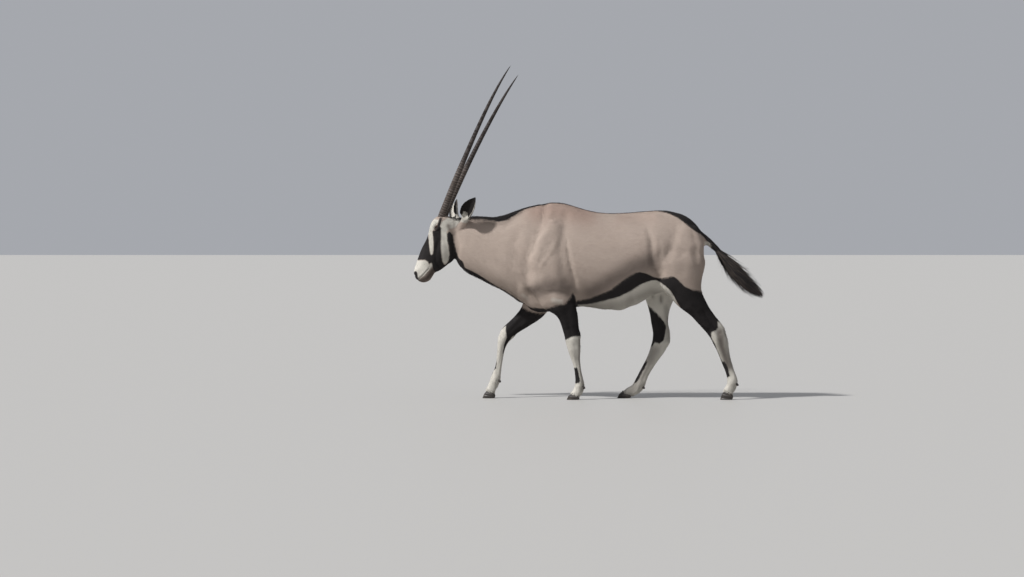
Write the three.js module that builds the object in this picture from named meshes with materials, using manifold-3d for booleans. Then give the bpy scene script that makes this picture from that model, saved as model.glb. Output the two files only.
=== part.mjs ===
// A walking gemsbok (Oryx gazella), life size, as closed solids: one for each part of the body.
// Millimetres. +Z is up, the animal walks towards -X, and its left side faces -Y.
// The origin is on the ground, under the middle of the animal.
import * as THREE from "three";
import { mergeVertices } from "three/addons/utils/BufferGeometryUtils.js";
import Module from "manifold-3d";

const wasm = await Module();
wasm.setup();

// Clearance between neighbouring solids.
const GAP = 0.3;
// The roundness of a limb's cross-section, where 2 is an ellipse.
const LIMB_ROUND = 2.1;

// The head is turned to the animal's right. The neck bends from its base to the poll.
const HEAD_TURN = THREE.MathUtils.degToRad(13);
const NECK_BASE_X = -440;
const POLL_X = -815;

// Horns. Along a horn, h runs from 0 at the skull to 1 at the tip. Heights, leans and spreads are
// those of the whole horn.
const HORN = {
  base: { x: -902, z: 1120, side: 31 },
  rise: 929,
  lean: 369,
  sweep: 65,
  tipSweep: 23,
  spread: 95,
  flare: 30,
  radius: 22,
  taper: 0.66,
  rings: 12,
  ringedShare: 0.4,
  ringHeight: 1.5,
};
// The right horn is a little shorter and lies a little further back.
const RIGHT_HORN = { share: 0.945, lean: 14 };

// Eyes.
const EYE = { x: -919, z: 1052, side: 62, radius: 19.5 };

// Ears: a leaf of this size, bent round its long axis.
const EAR = { length: 168, width: 88, thickness: 5, cup: 1.6 };
// The stem that it grows from is a cone, from the skull to this share of the ear's length.
const EAR_STEM = { foot: 33, head: 23, reach: 0.16 };

// Hooves.
const CLAW_WIDTH = 34;
const CLAW_SPACING = 38;
// The flesh between the claws stays this high over the ground.
const SOLE_CLEARANCE = 9;
const DEWCLAW = { radius: 9.5, length: 23, side: 15, drop: 12 };

const vec = (x, y, z) => new THREE.Vector3(x, y, z);

// A geometry with one vertex at each place.
function welded(geometry) {
  const g = geometry.clone();
  for (const name of Object.keys(g.attributes)) {
    if (name !== "position") g.deleteAttribute(name);
  }
  return mergeVertices(g, 1e-3);
}

// A geometry as a closed solid, with its faces pointing out.
function solid(geometry) {
  const merged = welded(geometry);
  const whole = (triangles) =>
    new wasm.Manifold(
      new wasm.Mesh({
        numProp: 3,
        vertProperties: merged.attributes.position.array,
        triVerts: triangles,
      }),
    );
  const triangles = new Uint32Array(merged.index.array);
  const made = whole(triangles);
  return made.volume() > 0 ? made : whole(triangles.reverse());
}

// A smooth list of numbers: one Catmull-Rom curve through each column of the table.
function columns(table) {
  const curves = table[0].map((_, column) => {
    const points = table.map((row) => vec(row[column], 0, 0));
    return new THREE.CatmullRomCurve3(points, false, "catmullrom", 0.5);
  });
  return (t) => curves.map((curve) => curve.getPoint(t).x);
}

// One point of a cross-section: an oval with its own roundness above and below its widest line.
// 2 is an ellipse, less is more pointed and more is boxier.
function ovalPoint(angle, upper, lower) {
  const power = 2 / (Math.sin(angle) >= 0 ? upper : lower);
  const bend = (v) => Math.sign(v) * Math.abs(v) ** power;
  return [bend(Math.cos(angle)), bend(Math.sin(angle))];
}

// A sphere whose rings are moved onto cross-sections. section(t) gives the points of the one at t.
function loft(section, sides, rings, bulge = 0) {
  const ball = new THREE.SphereGeometry(1, sides, rings + 1);
  const place = ball.attributes.position;
  const ends = [0, 1].map((t) => {
    const inner = section(t === 0 ? 0.02 : 0.98).middle;
    const outer = section(t).middle;
    const out = outer.clone().sub(inner).normalize().multiplyScalar(bulge);
    return outer.clone().add(out);
  });
  for (let ring = 0; ring <= rings + 1; ring++) {
    const pole = ring === 0 || ring === rings + 1;
    const at = pole ? null : section((ring - 1) / (rings - 1));
    for (let side = 0; side <= sides; side++) {
      const angle = ((side % sides) / sides) * 2 * Math.PI;
      const p = pole ? ends[ring === 0 ? 0 : 1] : at.point(angle);
      place.setXYZ(ring * (sides + 1) + side, p.x, p.y, p.z);
    }
  }
  return ball;
}

// A body part given by its outline: each row holds the upper point x, z, the lower point x, z, the
// half width, how far up the widest line is, and the roundness above and below it.
function outlined(table, sides, rings, { bulge = 0, grow = 0 } = {}) {
  const row = columns(table);
  const section = (t) => {
    const [ax, az, bx, bz, half, wide, upper, lower] = row(t);
    const low = vec(bx, 0, bz);
    const along = vec(ax - bx, 0, az - bz);
    const height = along.length();
    along.normalize();
    const middle = low.clone().addScaledVector(along, height * wide);
    const point = (angle) => {
      const [across, up] = ovalPoint(angle, upper, lower);
      const reach = (up >= 0 ? height * (1 - wide) : height * wide) + grow;
      const p = middle.clone().addScaledVector(along, up * reach);
      p.y += across * (half + grow);
      return p;
    };
    return { middle, point };
  };
  return loft(section, sides, rings, bulge + grow);
}

// A limb given by its middle line: each row holds x, z, the depth from front to back, the half
// width and the sideways place. Every section is square to the middle line.
function limbed(table, sides, rings, { bulge = 0, grow = 0 } = {}) {
  const row = columns(table);
  const section = (t) => {
    const [x, z, depth, half, side] = row(t);
    const [x0, z0] = row(Math.max(t - 0.01, 0));
    const [x1, z1] = row(Math.min(t + 0.01, 1));
    const across = vec(z1 - z0, 0, x0 - x1).normalize();
    const middle = vec(x, side, z);
    const point = (angle) => {
      const [sideways, front] = ovalPoint(angle, LIMB_ROUND, LIMB_ROUND);
      const p = middle.clone().addScaledVector(across, front * (depth / 2 + grow));
      p.y += sideways * (half + grow);
      return p;
    };
    return { middle, point };
  };
  return loft(section, sides, rings, bulge + grow);
}

// The same body with low swellings of muscle and bone. Each is a middle x, side, z, a reach and a
// height, and is made on both sides. A height below 0 makes a hollow.
function swollen(geometry, swellings) {
  const body = welded(geometry);
  body.computeVertexNormals();
  const place = body.attributes.position;
  const normal = body.attributes.normal;
  for (let i = 0; i < place.count; i++) {
    const p = new THREE.Vector3().fromBufferAttribute(place, i);
    const out = new THREE.Vector3().fromBufferAttribute(normal, i);
    let height = 0;
    for (const [x, side, z, reach, rise] of swellings) {
      const away = vec(x, Math.sign(p.y || 1) * side, z).distanceTo(p) / reach;
      height += rise * Math.exp(-away * away);
    }
    p.addScaledVector(out, height);
    place.setXYZ(i, p.x, p.y, p.z);
  }
  return body;
}

// The neck's bend to the animal's right: it grows from the neck's base, and stays from the poll on.
function neckBend(x) {
  const reach = NECK_BASE_X - POLL_X;
  const slope = Math.tan(HEAD_TURN);
  const run = THREE.MathUtils.clamp(NECK_BASE_X - x, 0, reach);
  const beyond = Math.max(POLL_X - x, 0);
  const angle = Math.atan((slope * run) / reach);
  return { angle, shift: (slope * run * run) / (2 * reach) + slope * beyond };
}

// The same bend for the pieces of the head, which turns as one.
function headBend(x) {
  const slope = Math.tan(HEAD_TURN);
  const atPoll = (slope * (NECK_BASE_X - POLL_X)) / 2;
  return { angle: HEAD_TURN, shift: atPoll + slope * (POLL_X - x) };
}

function turned(geometry, bend) {
  const place = geometry.attributes.position;
  for (let i = 0; i < place.count; i++) {
    const x = place.getX(i);
    const y = place.getY(i);
    const { angle, shift } = bend(x);
    place.setX(i, x + y * Math.sin(angle));
    place.setY(i, shift + y * Math.cos(angle));
  }
  return geometry;
}

// The outlines. Columns: upper x, z, lower x, z, half width, widest line, roundness above, below.
const TRUNK = [
  [-422, 843, -419, 634, 72, 0.5, 2, 2],
  [-376, 1065, -376, 560, 142, 0.46, 1.9, 2],
  [-308, 1189, -314, 533, 180, 0.42, 1.65, 2],
  [-234, 1214, -240, 538, 193, 0.42, 1.55, 2],
  [-117, 1199, -129, 557, 203, 0.43, 1.6, 2],
  [-6, 1159, -6, 572, 213, 0.45, 1.75, 2.05],
  [129, 1143, 135, 541, 219, 0.46, 1.85, 2.1],
  [258, 1149, 265, 566, 216, 0.47, 1.85, 2.1],
  [363, 1156, 369, 628, 202, 0.5, 1.9, 2],
  [461, 1161, 461, 658, 190, 0.54, 1.9, 2],
  [566, 1141, 572, 683, 176, 0.57, 1.9, 2],
  [640, 1095, 646, 726, 146, 0.55, 1.9, 2],
  [686, 1043, 702, 831, 84, 0.5, 2, 2],
];
const NECK = [
  [-856, 1095, -843, 917, 44, 0.5, 2, 2],
  [-794, 1115, -816, 853, 60, 0.5, 1.9, 2],
  [-708, 1126, -780, 796, 72, 0.48, 1.8, 2.1],
  [-609, 1120, -683, 746, 84, 0.46, 1.75, 2.1],
  [-517, 1132, -591, 698, 102, 0.44, 1.7, 2.1],
  [-425, 1167, -511, 660, 126, 0.42, 1.7, 2.1],
  [-332, 1197, -449, 612, 148, 0.42, 1.7, 2],
  [-240, 1207, -351, 566, 152, 0.42, 1.6, 2],
];
const HEAD = [
  [-803, 1095, -788, 991, 26, 0.55, 2, 2],
  [-868, 1121, -803, 929, 62, 0.6, 2.2, 2],
  [-927, 1119, -819, 886, 70, 0.66, 2.3, 1.9],
  [-964, 1089, -837, 855, 74, 0.72, 2.4, 1.8],
  [-979, 1046, -860, 838, 73, 0.7, 2.4, 1.8],
  [-991, 1007, -886, 815, 65, 0.62, 2.2, 1.8],
  [-1009, 970, -914, 793, 57, 0.56, 2.2, 1.9],
  [-1028, 934, -937, 781, 49, 0.54, 2.2, 2],
  [-1042, 900, -953, 773, 45, 0.52, 2.2, 2.1],
  [-1053, 868, -965, 754, 44, 0.52, 2.3, 2.2],
  [-1063, 837, -979, 732, 44, 0.52, 2.4, 2.2],
  [-1071, 806, -997, 720, 43, 0.52, 2.4, 2.2],
  [-1072, 780, -1022, 717, 38, 0.52, 2.4, 2.2],
  [-1070, 755, -1046, 721, 28, 0.5, 2.3, 2.2],
  [-1065, 737, -1056, 726, 13, 0.5, 2, 2],
];

// The limbs, from the top down. Columns: x, z, depth, half width, sideways place.
const LEGS = {
  foreleg_left: {
    side: -1,
    line: [
      [-198, 1091, 110, 30, 100],
      [-229, 993, 200, 52, 122],
      [-248, 883, 262, 64, 134],
      [-248, 773, 290, 72, 136],
      [-223, 675, 268, 72, 132],
      [-174, 601, 190, 62, 126],
      [-140, 546, 136, 50, 120],
      [-125, 487, 114, 41, 115],
      [-112, 429, 102, 36, 110],
      [-101, 368, 92, 35, 106],
      [-94, 318, 82, 34, 104],
      [-87, 269, 62, 26, 101],
      [-77, 220, 47, 20, 98],
      [-69, 171, 43, 18.5, 95],
      [-63, 128, 48, 20, 92],
      [-59, 88, 58, 25, 89],
      [-69, 55, 56, 26, 87],
      [-86, 29, 58, 28, 86],
      [-99, 15, 44, 24, 86],
    ],
    knee: [-99, 361],
    hoof: { toe: -138, heel: -60 },
  },
  foreleg_right: {
    side: 1,
    line: [
      [-177, 1088, 110, 30, 100],
      [-220, 989, 200, 52, 122],
      [-257, 877, 262, 64, 134],
      [-282, 765, 285, 70, 136],
      [-295, 667, 262, 70, 132],
      [-313, 593, 196, 60, 124],
      [-369, 519, 128, 48, 116],
      [-418, 473, 106, 40, 111],
      [-469, 433, 91, 35, 106],
      [-511, 394, 84, 35, 103],
      [-527, 359, 72, 33, 100],
      [-538, 322, 54, 26, 98],
      [-546, 272, 44, 20, 95],
      [-553, 223, 39, 18, 92],
      [-560, 183, 43, 19, 90],
      [-569, 149, 52, 22, 88],
      [-578, 118, 60, 26, 86],
      [-591, 81, 56, 26, 85],
      [-610, 38, 58, 28, 84],
      [-620, 17, 44, 24, 84],
    ],
    knee: [-520, 376],
    hoof: { toe: -656, heel: -578 },
  },
  hindleg_left: {
    side: -1,
    line: [
      [581, 1078, 160, 36, 90],
      [568, 980, 262, 70, 112],
      [555, 870, 318, 86, 124],
      [555, 773, 306, 84, 126],
      [586, 674, 222, 74, 122],
      [644, 592, 146, 58, 116],
      [678, 545, 126, 48, 112],
      [715, 498, 112, 42, 108],
      [753, 453, 110, 37, 104],
      [784, 413, 110, 35, 102],
      [803, 365, 96, 34, 99],
      [817, 321, 79, 30, 97],
      [831, 270, 66, 25, 94],
      [846, 225, 59, 22, 92],
      [862, 178, 55, 21, 90],
      [873, 143, 56, 23, 88],
      [879, 106, 66, 27, 86],
      [868, 75, 57, 27, 85],
      [851, 45, 60, 29, 84],
      [841, 19, 46, 24, 84],
    ],
    knee: [795, 389],
    hoof: { toe: 805, heel: 882 },
  },
  hindleg_right: {
    side: 1,
    line: [
      [551, 1076, 160, 36, 90],
      [521, 976, 262, 70, 112],
      [485, 865, 312, 86, 124],
      [454, 766, 296, 84, 126],
      [441, 673, 236, 74, 122],
      [438, 605, 176, 60, 117],
      [437, 550, 132, 50, 113],
      [438, 500, 115, 43, 109],
      [441, 451, 105, 38, 105],
      [450, 402, 108, 36, 103],
      [449, 356, 112, 35, 101],
      [430, 309, 95, 32, 99],
      [406, 263, 76, 27, 96],
      [380, 217, 66, 23, 94],
      [354, 171, 62, 22, 92],
      [329, 124, 62, 23, 89],
      [308, 78, 70, 27, 87],
      [279, 48, 62, 27, 86],
      [245, 33, 60, 29, 85],
      [220, 16, 44, 24, 85],
    ],
    knee: [444, 340],
    hoof: { toe: 177, heel: 261 },
  },
};
const TAIL = [
  [622, 1046, 58, 30, 0],
  [683, 1009, 54, 26, 0],
  [745, 960, 46, 21, 0],
  [794, 914, 38, 16, 0],
  [843, 868, 24, 11, 0],
];
const TAIL_TUFT = [
  [775, 932, 36, 16, 0],
  [818, 880, 72, 26, 0],
  [862, 828, 98, 36, 0],
  [911, 772, 104, 40, 0],
  [960, 723, 92, 36, 0],
  [1009, 680, 66, 26, 0],
  [1052, 643, 36, 14, 0],
  [1076, 623, 12, 5, 0],
];

// Where the flesh is parted. A plane is given by two points of its line seen from the side.
const PLANES = {
  neckBase: [[-468, 634], [-320, 1200]],
  poll: [[-819, 855], [-754, 1126]],
  mouth: [[-1080, 746], [-973, 806]],
  tailRoot: [[708, 935], [702, 1065]],
};
// The outlines, seen from the side, of what counts as a leg. They lie outside this sideways place.
const LEG_INNER_SIDE = 34;
const REGIONS = {
  foreleg_left: [
    [-400, 612], [-400, 760], [-358, 919], [-259, 1078], [-143, 1078], [-69, 919],
    [-33, 735], [-27, 600], [90, 490], [90, -62], [-302, -62], [-315, 478],
  ],
  foreleg_right: [
    [-425, 606], [-418, 754], [-369, 915], [-258, 1075], [-140, 1075], [-85, 915],
    [-72, 729], [-128, 581], [-177, 420], [-177, -74], [-734, -74], [-734, 470],
  ],
  hindleg_left: [
    [378, 698], [396, 845], [458, 980], [574, 1091], [678, 1066], [752, 993],
    [764, 674], [997, 490], [997, -62], [556, -62], [482, 502],
  ],
  hindleg_right: [
    [323, 668], [348, 841], [441, 977], [570, 1088], [688, 1063], [762, 989],
    [762, 705], [626, 420], [564, -74], [70, -74], [317, 420],
  ],
};
const OUTER_SIDE = 420;
const BLOCK = 5000;

// The half of space on one side of a plane, less half the gap.
function half(plane, sign) {
  const [[x0, z0], [x1, z1]] = [...plane].sort((p, q) => p[1] - q[1]);
  const box = new THREE.BoxGeometry(BLOCK, BLOCK, BLOCK);
  box.translate(sign * (BLOCK / 2 + GAP / 2), 0, 0);
  box.rotateY(Math.atan2(x1 - x0, z1 - z0));
  box.translate(x0, 0, z0);
  return solid(box);
}

function split(whole, plane) {
  return [-1, 1].map((sign) => whole.intersect(half(plane, sign)));
}

// A leg's share of space: its outline pulled from the inner side outwards, grown by `grow`.
function region(outline, side, grow) {
  const middle = new THREE.Vector2();
  for (const [x, z] of outline) middle.add(new THREE.Vector2(x, z));
  middle.divideScalar(outline.length);
  const points = outline.map(([x, z]) => {
    const from = new THREE.Vector2(x, z).sub(middle);
    return from.setLength(from.length() + 2 * grow).add(middle);
  });
  const depth = OUTER_SIDE - LEG_INNER_SIDE + 2 * grow;
  const block = new THREE.ExtrudeGeometry(new THREE.Shape(points), { depth, bevelEnabled: false });
  block.rotateX(Math.PI / 2);
  const inner = LEG_INNER_SIDE - grow;
  block.translate(0, side > 0 ? inner + depth : -inner, 0);
  return solid(block);
}

// The largest body of a cut, without the crumbs that a plane can leave.
function largest(made) {
  const bodies = made.decompose();
  return bodies.reduce((best, body) => (body.volume() > best.volume() ? body : best));
}

function legLine(leg) {
  return leg.line.map(([x, z, depth, width, side]) => [x, z, depth, width, leg.side * side]);
}

// Swellings of the trunk: the hook bones, the hollow in front of them, and the shoulders' points.
const TRUNK_FORM = [
  [455, 150, 1070, 90, 16],
  [350, 200, 1000, 90, -10],
  [-366, 130, 700, 110, 18],
];
// Of the head: the brows, the eye sockets, the cheeks, the hollows below the eyes, the wings of
// the nostrils, the seats of the ears and the sockets that the horns stand on.
const HEAD_FORM = [
  [EYE.x + 10, 58, EYE.z + 26, 34, 9],
  [EYE.x - 2, 76, EYE.z - 4, 24, -6],
  [-872, 60, 905, 72, 9],
  [-985, 50, 935, 48, -5],
  [-1058, 34, 783, 26, 8],
  [-796, 62, 1088, 40, 16],
  [HORN.base.x - 2, 36, HORN.base.z - 6, 38, 12],
];

function trunk() {
  return solid(swollen(outlined(TRUNK, 22, 14, { bulge: 14 }), TRUNK_FORM));
}

function neck(grow = 0) {
  return solid(turned(outlined(NECK, 20, 10, { grow }), neckBend));
}

function head(grow = 0) {
  const skull = swollen(outlined(HEAD, 20, 19, { bulge: 4, grow }), HEAD_FORM);
  return solid(turned(skull, headBend));
}

function eye(side, grow = 0) {
  const ball = new THREE.SphereGeometry(EYE.radius + grow, 10, 6);
  ball.rotateX(Math.PI / 2);
  ball.translate(EYE.x, side * EYE.side, EYE.z);
  return solid(turned(ball, headBend));
}

function horn(side) {
  const right = side > 0 ? RIGHT_HORN : { share: 1, lean: 0 };
  const middleAt = (h) =>
    vec(
      HORN.base.x + (HORN.lean + right.lean) * h + HORN.sweep * h * h + HORN.tipSweep * h ** 8,
      side * (HORN.base.side + HORN.spread * h + HORN.flare * h * h),
      HORN.base.z + HORN.rise * h,
    );
  const section = (t) => {
    const h = (t * 1.02 - 0.02) * right.share;
    const middle = middleAt(h);
    const along = middleAt(h + 0.01).sub(middleAt(h - 0.01)).normalize();
    const back = vec(1, 0, 0).addScaledVector(along, -along.x).normalize();
    const sideways = along.clone().cross(back);
    const taper = (1 - HORN.taper * t ** 0.9) * Math.sqrt(1 - Math.min(t, 0.999) ** 8);
    const ringed = THREE.MathUtils.smoothstep(HORN.ringedShare - t, 0, 0.1);
    const wave = Math.cos((t / HORN.ringedShare) * HORN.rings * 2 * Math.PI);
    const radius = Math.max(HORN.radius * taper + HORN.ringHeight * ringed * wave, 1.2);
    const point = (angle) =>
      middle
        .clone()
        .addScaledVector(back, radius * Math.cos(angle))
        .addScaledVector(sideways, radius * 0.94 * Math.sin(angle));
    return { middle, point };
  };
  // Two rings of points for each growth ring, and longer steps on the smooth part above them.
  const ringedSteps = HORN.rings * 2;
  const smoothSteps = 7;
  const steps = ringedSteps + smoothSteps;
  const eased = (t) => {
    const step = t * steps;
    if (step <= ringedSteps) return (step / ringedSteps) * HORN.ringedShare;
    return HORN.ringedShare + ((step - ringedSteps) / smoothSteps) * (1 - HORN.ringedShare);
  };
  return solid(turned(loft((t) => section(eased(t)), 8, steps + 1, 4), headBend));
}

// An ear: a flattened ball, outlined as a leaf and bent round its long axis into a cup. It grows
// from a stem that stands on the skull at `seat`.
function ear(base, tip, opening, seat) {
  const ball = new THREE.SphereGeometry(1, 12, 8);
  const along = tip.clone().sub(base).normalize();
  const open = opening.clone().addScaledVector(along, -opening.dot(along)).normalize();
  const across = along.clone().cross(open);
  const place = ball.attributes.position;
  for (let i = 0; i < place.count; i++) {
    const out = place.getX(i);
    const up = (place.getY(i) + 1) / 2;
    const over = place.getZ(i);
    const leaf = EAR.width * 0.5 * (0.5 + 0.5 * Math.sin(Math.PI * Math.min(up * 0.85 + 0.1, 1)));
    const curl = EAR.cup * (1.15 - 0.55 * up);
    const angle = over * curl;
    const radius = leaf / Math.sin(Math.min(curl, Math.PI / 2));
    const depth = radius * (1 - Math.cos(angle)) + out * EAR.thickness * 0.5;
    const width = radius * Math.sin(angle) - Math.sin(angle) * out * EAR.thickness * 0.5;
    const p = base
      .clone()
      .addScaledVector(along, up * EAR.length)
      .addScaledVector(across, width)
      .addScaledVector(open, depth - 14 * up * up);
    place.setXYZ(i, p.x, p.y, p.z);
  }
  const end = base.clone().addScaledVector(along, EAR_STEM.reach * EAR.length);
  const height = end.distanceTo(seat);
  const stem = new THREE.CylinderGeometry(EAR_STEM.head, EAR_STEM.foot, height, 7);
  const rise = end.clone().sub(seat).normalize();
  stem.applyQuaternion(new THREE.Quaternion().setFromUnitVectors(vec(0, 1, 0), rise));
  const middle = end.clone().add(seat).multiplyScalar(0.5);
  stem.translate(middle.x, middle.y, middle.z);
  return solid(turned(ball, headBend)).add(solid(turned(stem, headBend)));
}

function leg(name, grow = 0) {
  const line = legLine(LEGS[name]);
  return solid(limbed(line, 11, line.length - 2, { bulge: 2, grow }));
}

// One claw of a hoof, from the coronet to a flat sole on the ground. `out` is the outer side.
function claw({ toe, heel }, place, coronetZ, out, grow = 0) {
  const length = heel - toe;
  const top = coronetZ + 12 + grow;
  const wide = CLAW_WIDTH + 2 * grow;
  // Columns: x of the front and back, height of the front and back, half width.
  const table = [
    [toe + length * 0.36 - grow, heel - 8 + grow, top + 2, top - 20, wide * 0.4],
    [toe + length * 0.28 - grow, heel + grow, top - 10, top - 28, wide * 0.5],
    [toe + length * 0.12 - grow, heel + 2 + grow, top * 0.5, top * 0.24, wide * 0.52],
    [toe - grow, heel - 6 + grow, -grow, -grow, wide * 0.5],
  ];
  const row = columns(table);
  const section = (t) => {
    const [front, back, frontZ, backZ, width] = row(t);
    const middle = vec((front + back) / 2, place, (frontZ + backZ) / 2);
    const point = (angle) => {
      const [sideways, along] = ovalPoint(angle, 2.1, 2.5);
      const share = (1 - along) / 2;
      // Claws narrow to the toe, and lean together there.
      const narrow = 1 - 0.45 * (1 - share) ** 2;
      const inward = -out * CLAW_WIDTH * 0.12 * (1 - share);
      return vec(
        THREE.MathUtils.lerp(front, back, share),
        place + sideways * width * narrow + inward,
        THREE.MathUtils.lerp(frontZ, backZ, share),
      );
    };
    return { middle, point };
  };
  return solid(loft(section, 10, 4));
}

// A dewclaw: a small blunt cone behind the fetlock.
function dewclaw(x, y, z, tilt) {
  const cone = new THREE.CylinderGeometry(DEWCLAW.radius * 0.55, DEWCLAW.radius, DEWCLAW.length, 6);
  cone.rotateX(-Math.PI / 2);
  cone.rotateY(THREE.MathUtils.degToRad(tilt));
  cone.translate(x, y, z);
  return solid(cone);
}

// Colours and gloss of the real animal's surfaces.
const FINISHES = {
  coat: { color: 0xa8968a, roughness: 0.8 },
  pale: { color: 0xd8d2c8, roughness: 0.8 },
  dark: { color: 0x2a2423, roughness: 0.75 },
  horn: { color: 0x2e2724, roughness: 0.45 },
  hoof: { color: 0x3a3634, roughness: 0.5 },
  eye: { color: 0x120c08, roughness: 0.08 },
};

const gemsbok = new THREE.Group();

function add(name, made, finish) {
  const m = largest(made).getMesh();
  const position = new Float32Array(m.numVert * 3);
  for (let i = 0; i < m.numVert; i++) {
    position.set(m.vertProperties.subarray(i * m.numProp, i * m.numProp + 3), i * 3);
  }
  const geometry = new THREE.BufferGeometry();
  geometry.setAttribute("position", new THREE.BufferAttribute(position, 3));
  geometry.setIndex(new THREE.BufferAttribute(m.triVerts, 1));
  geometry.computeVertexNormals();
  const { color, roughness } = FINISHES[finish];
  const material = new THREE.MeshStandardMaterial({ color, roughness, metalness: 0 });
  const mesh = new THREE.Mesh(geometry, material);
  mesh.name = name;
  gemsbok.add(mesh);
}

// The two claws of each foot, left out of the flesh with a gap round them.
function claws({ side, hoof, line }, grow = 0) {
  const [, coronetZ, , , coronetSide] = line.at(-2);
  return [1, -1].map((out) => {
    const place = side * (coronetSide + (out * CLAW_SPACING) / 2);
    return claw(hoof, place, coronetZ, side * out, grow);
  });
}

// The flesh in one piece, then parted.
const legs = Object.keys(LEGS).map((name) => leg(name));
const tail = solid(limbed(TAIL, 10, 6, { bulge: 4 }));
let flesh = [trunk(), neck(), head(), tail, ...legs].reduce((sum, next) => sum.add(next));
const eyeSpaces = [-1, 1].map((side) => eye(side, GAP));
const clawSpaces = Object.values(LEGS).flatMap((one) => claws(one, GAP));
const underSole = new THREE.BoxGeometry(BLOCK, BLOCK, BLOCK);
underSole.translate(0, 0, SOLE_CLEARANCE - BLOCK / 2);
for (const space of [...eyeSpaces, ...clawSpaces, solid(underSole)]) flesh = flesh.subtract(space);

let body = flesh;
for (const [name, one] of Object.entries(LEGS)) {
  const { side, knee, line } = one;
  const whole = largest(flesh.intersect(region(REGIONS[name], side, 0)));
  body = body.subtract(region(REGIONS[name], side, GAP));
  // The cut at the knee or hock is square to the leg.
  const at = line.findIndex(([, z]) => z < knee[1]);
  const [[x0, z0], [x1, z1]] = [line[at - 1], line[at]];
  const cut = [knee, [knee[0] + (z1 - z0), knee[1] - (x1 - x0)]];
  const pieces = split(whole, cut).map(largest);
  pieces.sort((p, q) => q.boundingBox().max[2] - p.boundingBox().max[2]);
  add(`${name}_upper`, pieces[0], "dark");
  add(`${name}_lower`, pieces[1], "pale");

  const [outer, inner] = claws(one);
  add(`${name}_claw_outer`, outer, "hoof");
  add(`${name}_claw_inner`, inner, "hoof");
  const [fetlockX, fetlockZ, fetlockDepth, , fetlockSide] = line.at(-4);
  const back = fetlockX + fetlockDepth * 0.42;
  const taken = leg(name, GAP);
  for (const [which, out] of [["outer", 1], ["inner", -1]]) {
    const spur = dewclaw(back, side * (fetlockSide + out * DEWCLAW.side), fetlockZ - DEWCLAW.drop, -40);
    add(`${name}_dewclaw_${which}`, spur.subtract(taken), "hoof");
  }
}

const [front, rear] = split(body, PLANES.neckBase);
const [headAndJaw, neckAlone] = split(front, PLANES.poll);
const jawCut = split(largest(headAndJaw), PLANES.mouth).map(largest);
jawCut.sort((p, q) => q.boundingBox().max[2] - p.boundingBox().max[2]);
const [trunkAlone, tailAlone] = split(largest(rear), PLANES.tailRoot);
add("trunk", trunkAlone, "coat");
add("neck", neckAlone, "coat");
add("head", jawCut[0], "pale");
add("lower_jaw", jawCut[1], "pale");
add("tail", tailAlone, "dark");
const tuft = solid(limbed(TAIL_TUFT, 10, 8, { bulge: 5 }));
const tailSpace = solid(limbed(TAIL, 10, 6, { bulge: 4, grow: GAP }));
add("tail_tuft", tuft.subtract(tailSpace), "dark");

// The left ear is laid back with its cup to the side. The right one is raised, its cup forwards.
const skull = head(GAP).add(neck(GAP));
const LEFT_EAR = {
  base: vec(-748, -62, 1106),
  tip: vec(-668, -142, 1256),
  opening: vec(-0.15, -1, 0.15),
  seat: vec(-786, -34, 1058),
};
const RIGHT_EAR = {
  base: vec(-818, 58, 1092),
  tip: vec(-860, 138, 1222),
  opening: vec(-0.8, -0.6, 0),
  seat: vec(-806, 32, 1052),
};
const [leftEar, rightEar] = [LEFT_EAR, RIGHT_EAR].map((one) =>
  ear(one.base, one.tip, one.opening, one.seat),
);
add("ear_left", leftEar.subtract(skull), "pale");
add("ear_right", rightEar.subtract(skull), "pale");
for (const [name, side] of [["left", -1], ["right", 1]]) {
  add(`horn_${name}`, horn(side).subtract(skull), "horn");
  add(`eye_${name}`, eye(side), "eye");
}

export default gemsbok;
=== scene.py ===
# %% Load the frame
import math

import bmesh
import bpy
import numpy as np
from mathutils import Euler, Matrix, Vector
from mathutils.bvhtree import BVHTree


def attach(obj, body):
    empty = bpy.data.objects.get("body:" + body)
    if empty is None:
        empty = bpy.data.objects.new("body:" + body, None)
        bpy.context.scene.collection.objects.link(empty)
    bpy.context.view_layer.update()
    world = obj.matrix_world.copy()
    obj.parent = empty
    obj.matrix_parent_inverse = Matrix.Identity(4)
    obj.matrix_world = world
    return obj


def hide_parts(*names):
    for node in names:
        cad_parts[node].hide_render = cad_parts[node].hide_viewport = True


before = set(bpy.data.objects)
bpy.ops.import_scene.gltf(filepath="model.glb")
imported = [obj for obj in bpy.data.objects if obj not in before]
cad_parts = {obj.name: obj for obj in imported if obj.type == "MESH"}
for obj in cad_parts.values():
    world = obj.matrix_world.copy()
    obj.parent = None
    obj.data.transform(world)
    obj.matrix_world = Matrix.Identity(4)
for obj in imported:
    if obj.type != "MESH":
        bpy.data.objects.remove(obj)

scene = bpy.context.scene
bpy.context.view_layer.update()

# %% [markdown]
# # A walking gemsbok
# The solids of the frame give the animal's true outline. This file gives it a skin without seams,
# a coat that lies over the skin, eyes, horns and hooves. Units are metres, +Z is up, the animal
# walks towards -X and its left side faces -Y, where the camera stands.
#
# ## The camera
# The photo was taken from far away with a long lens, from a little above the animal's back and
# looking slightly down. A camera 25 m away repeats that. It is tilted, not shifted, so that other
# views stay centred. Since the markings were measured on the photo, `on_photo` turns its pixels
# into places on an upright plane through the animal.

# %% The camera
def placed(name, data):
    """A new object of the scene, with this data."""
    made = bpy.data.objects.new(name, data)
    scene.collection.objects.link(made)
    return made


PHOTO_WIDTH, PHOTO_HEIGHT = 1024, 577
CAMERA_PLACE = Vector((-0.474, -25.0, 1.440))
FOCUS = 4062             # pixels
FARTHEST = 200           # how far the camera sees
EYE_LEVEL_ROW = 165      # the photo's row at the camera's own height
SENSOR = 36.0


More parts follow.
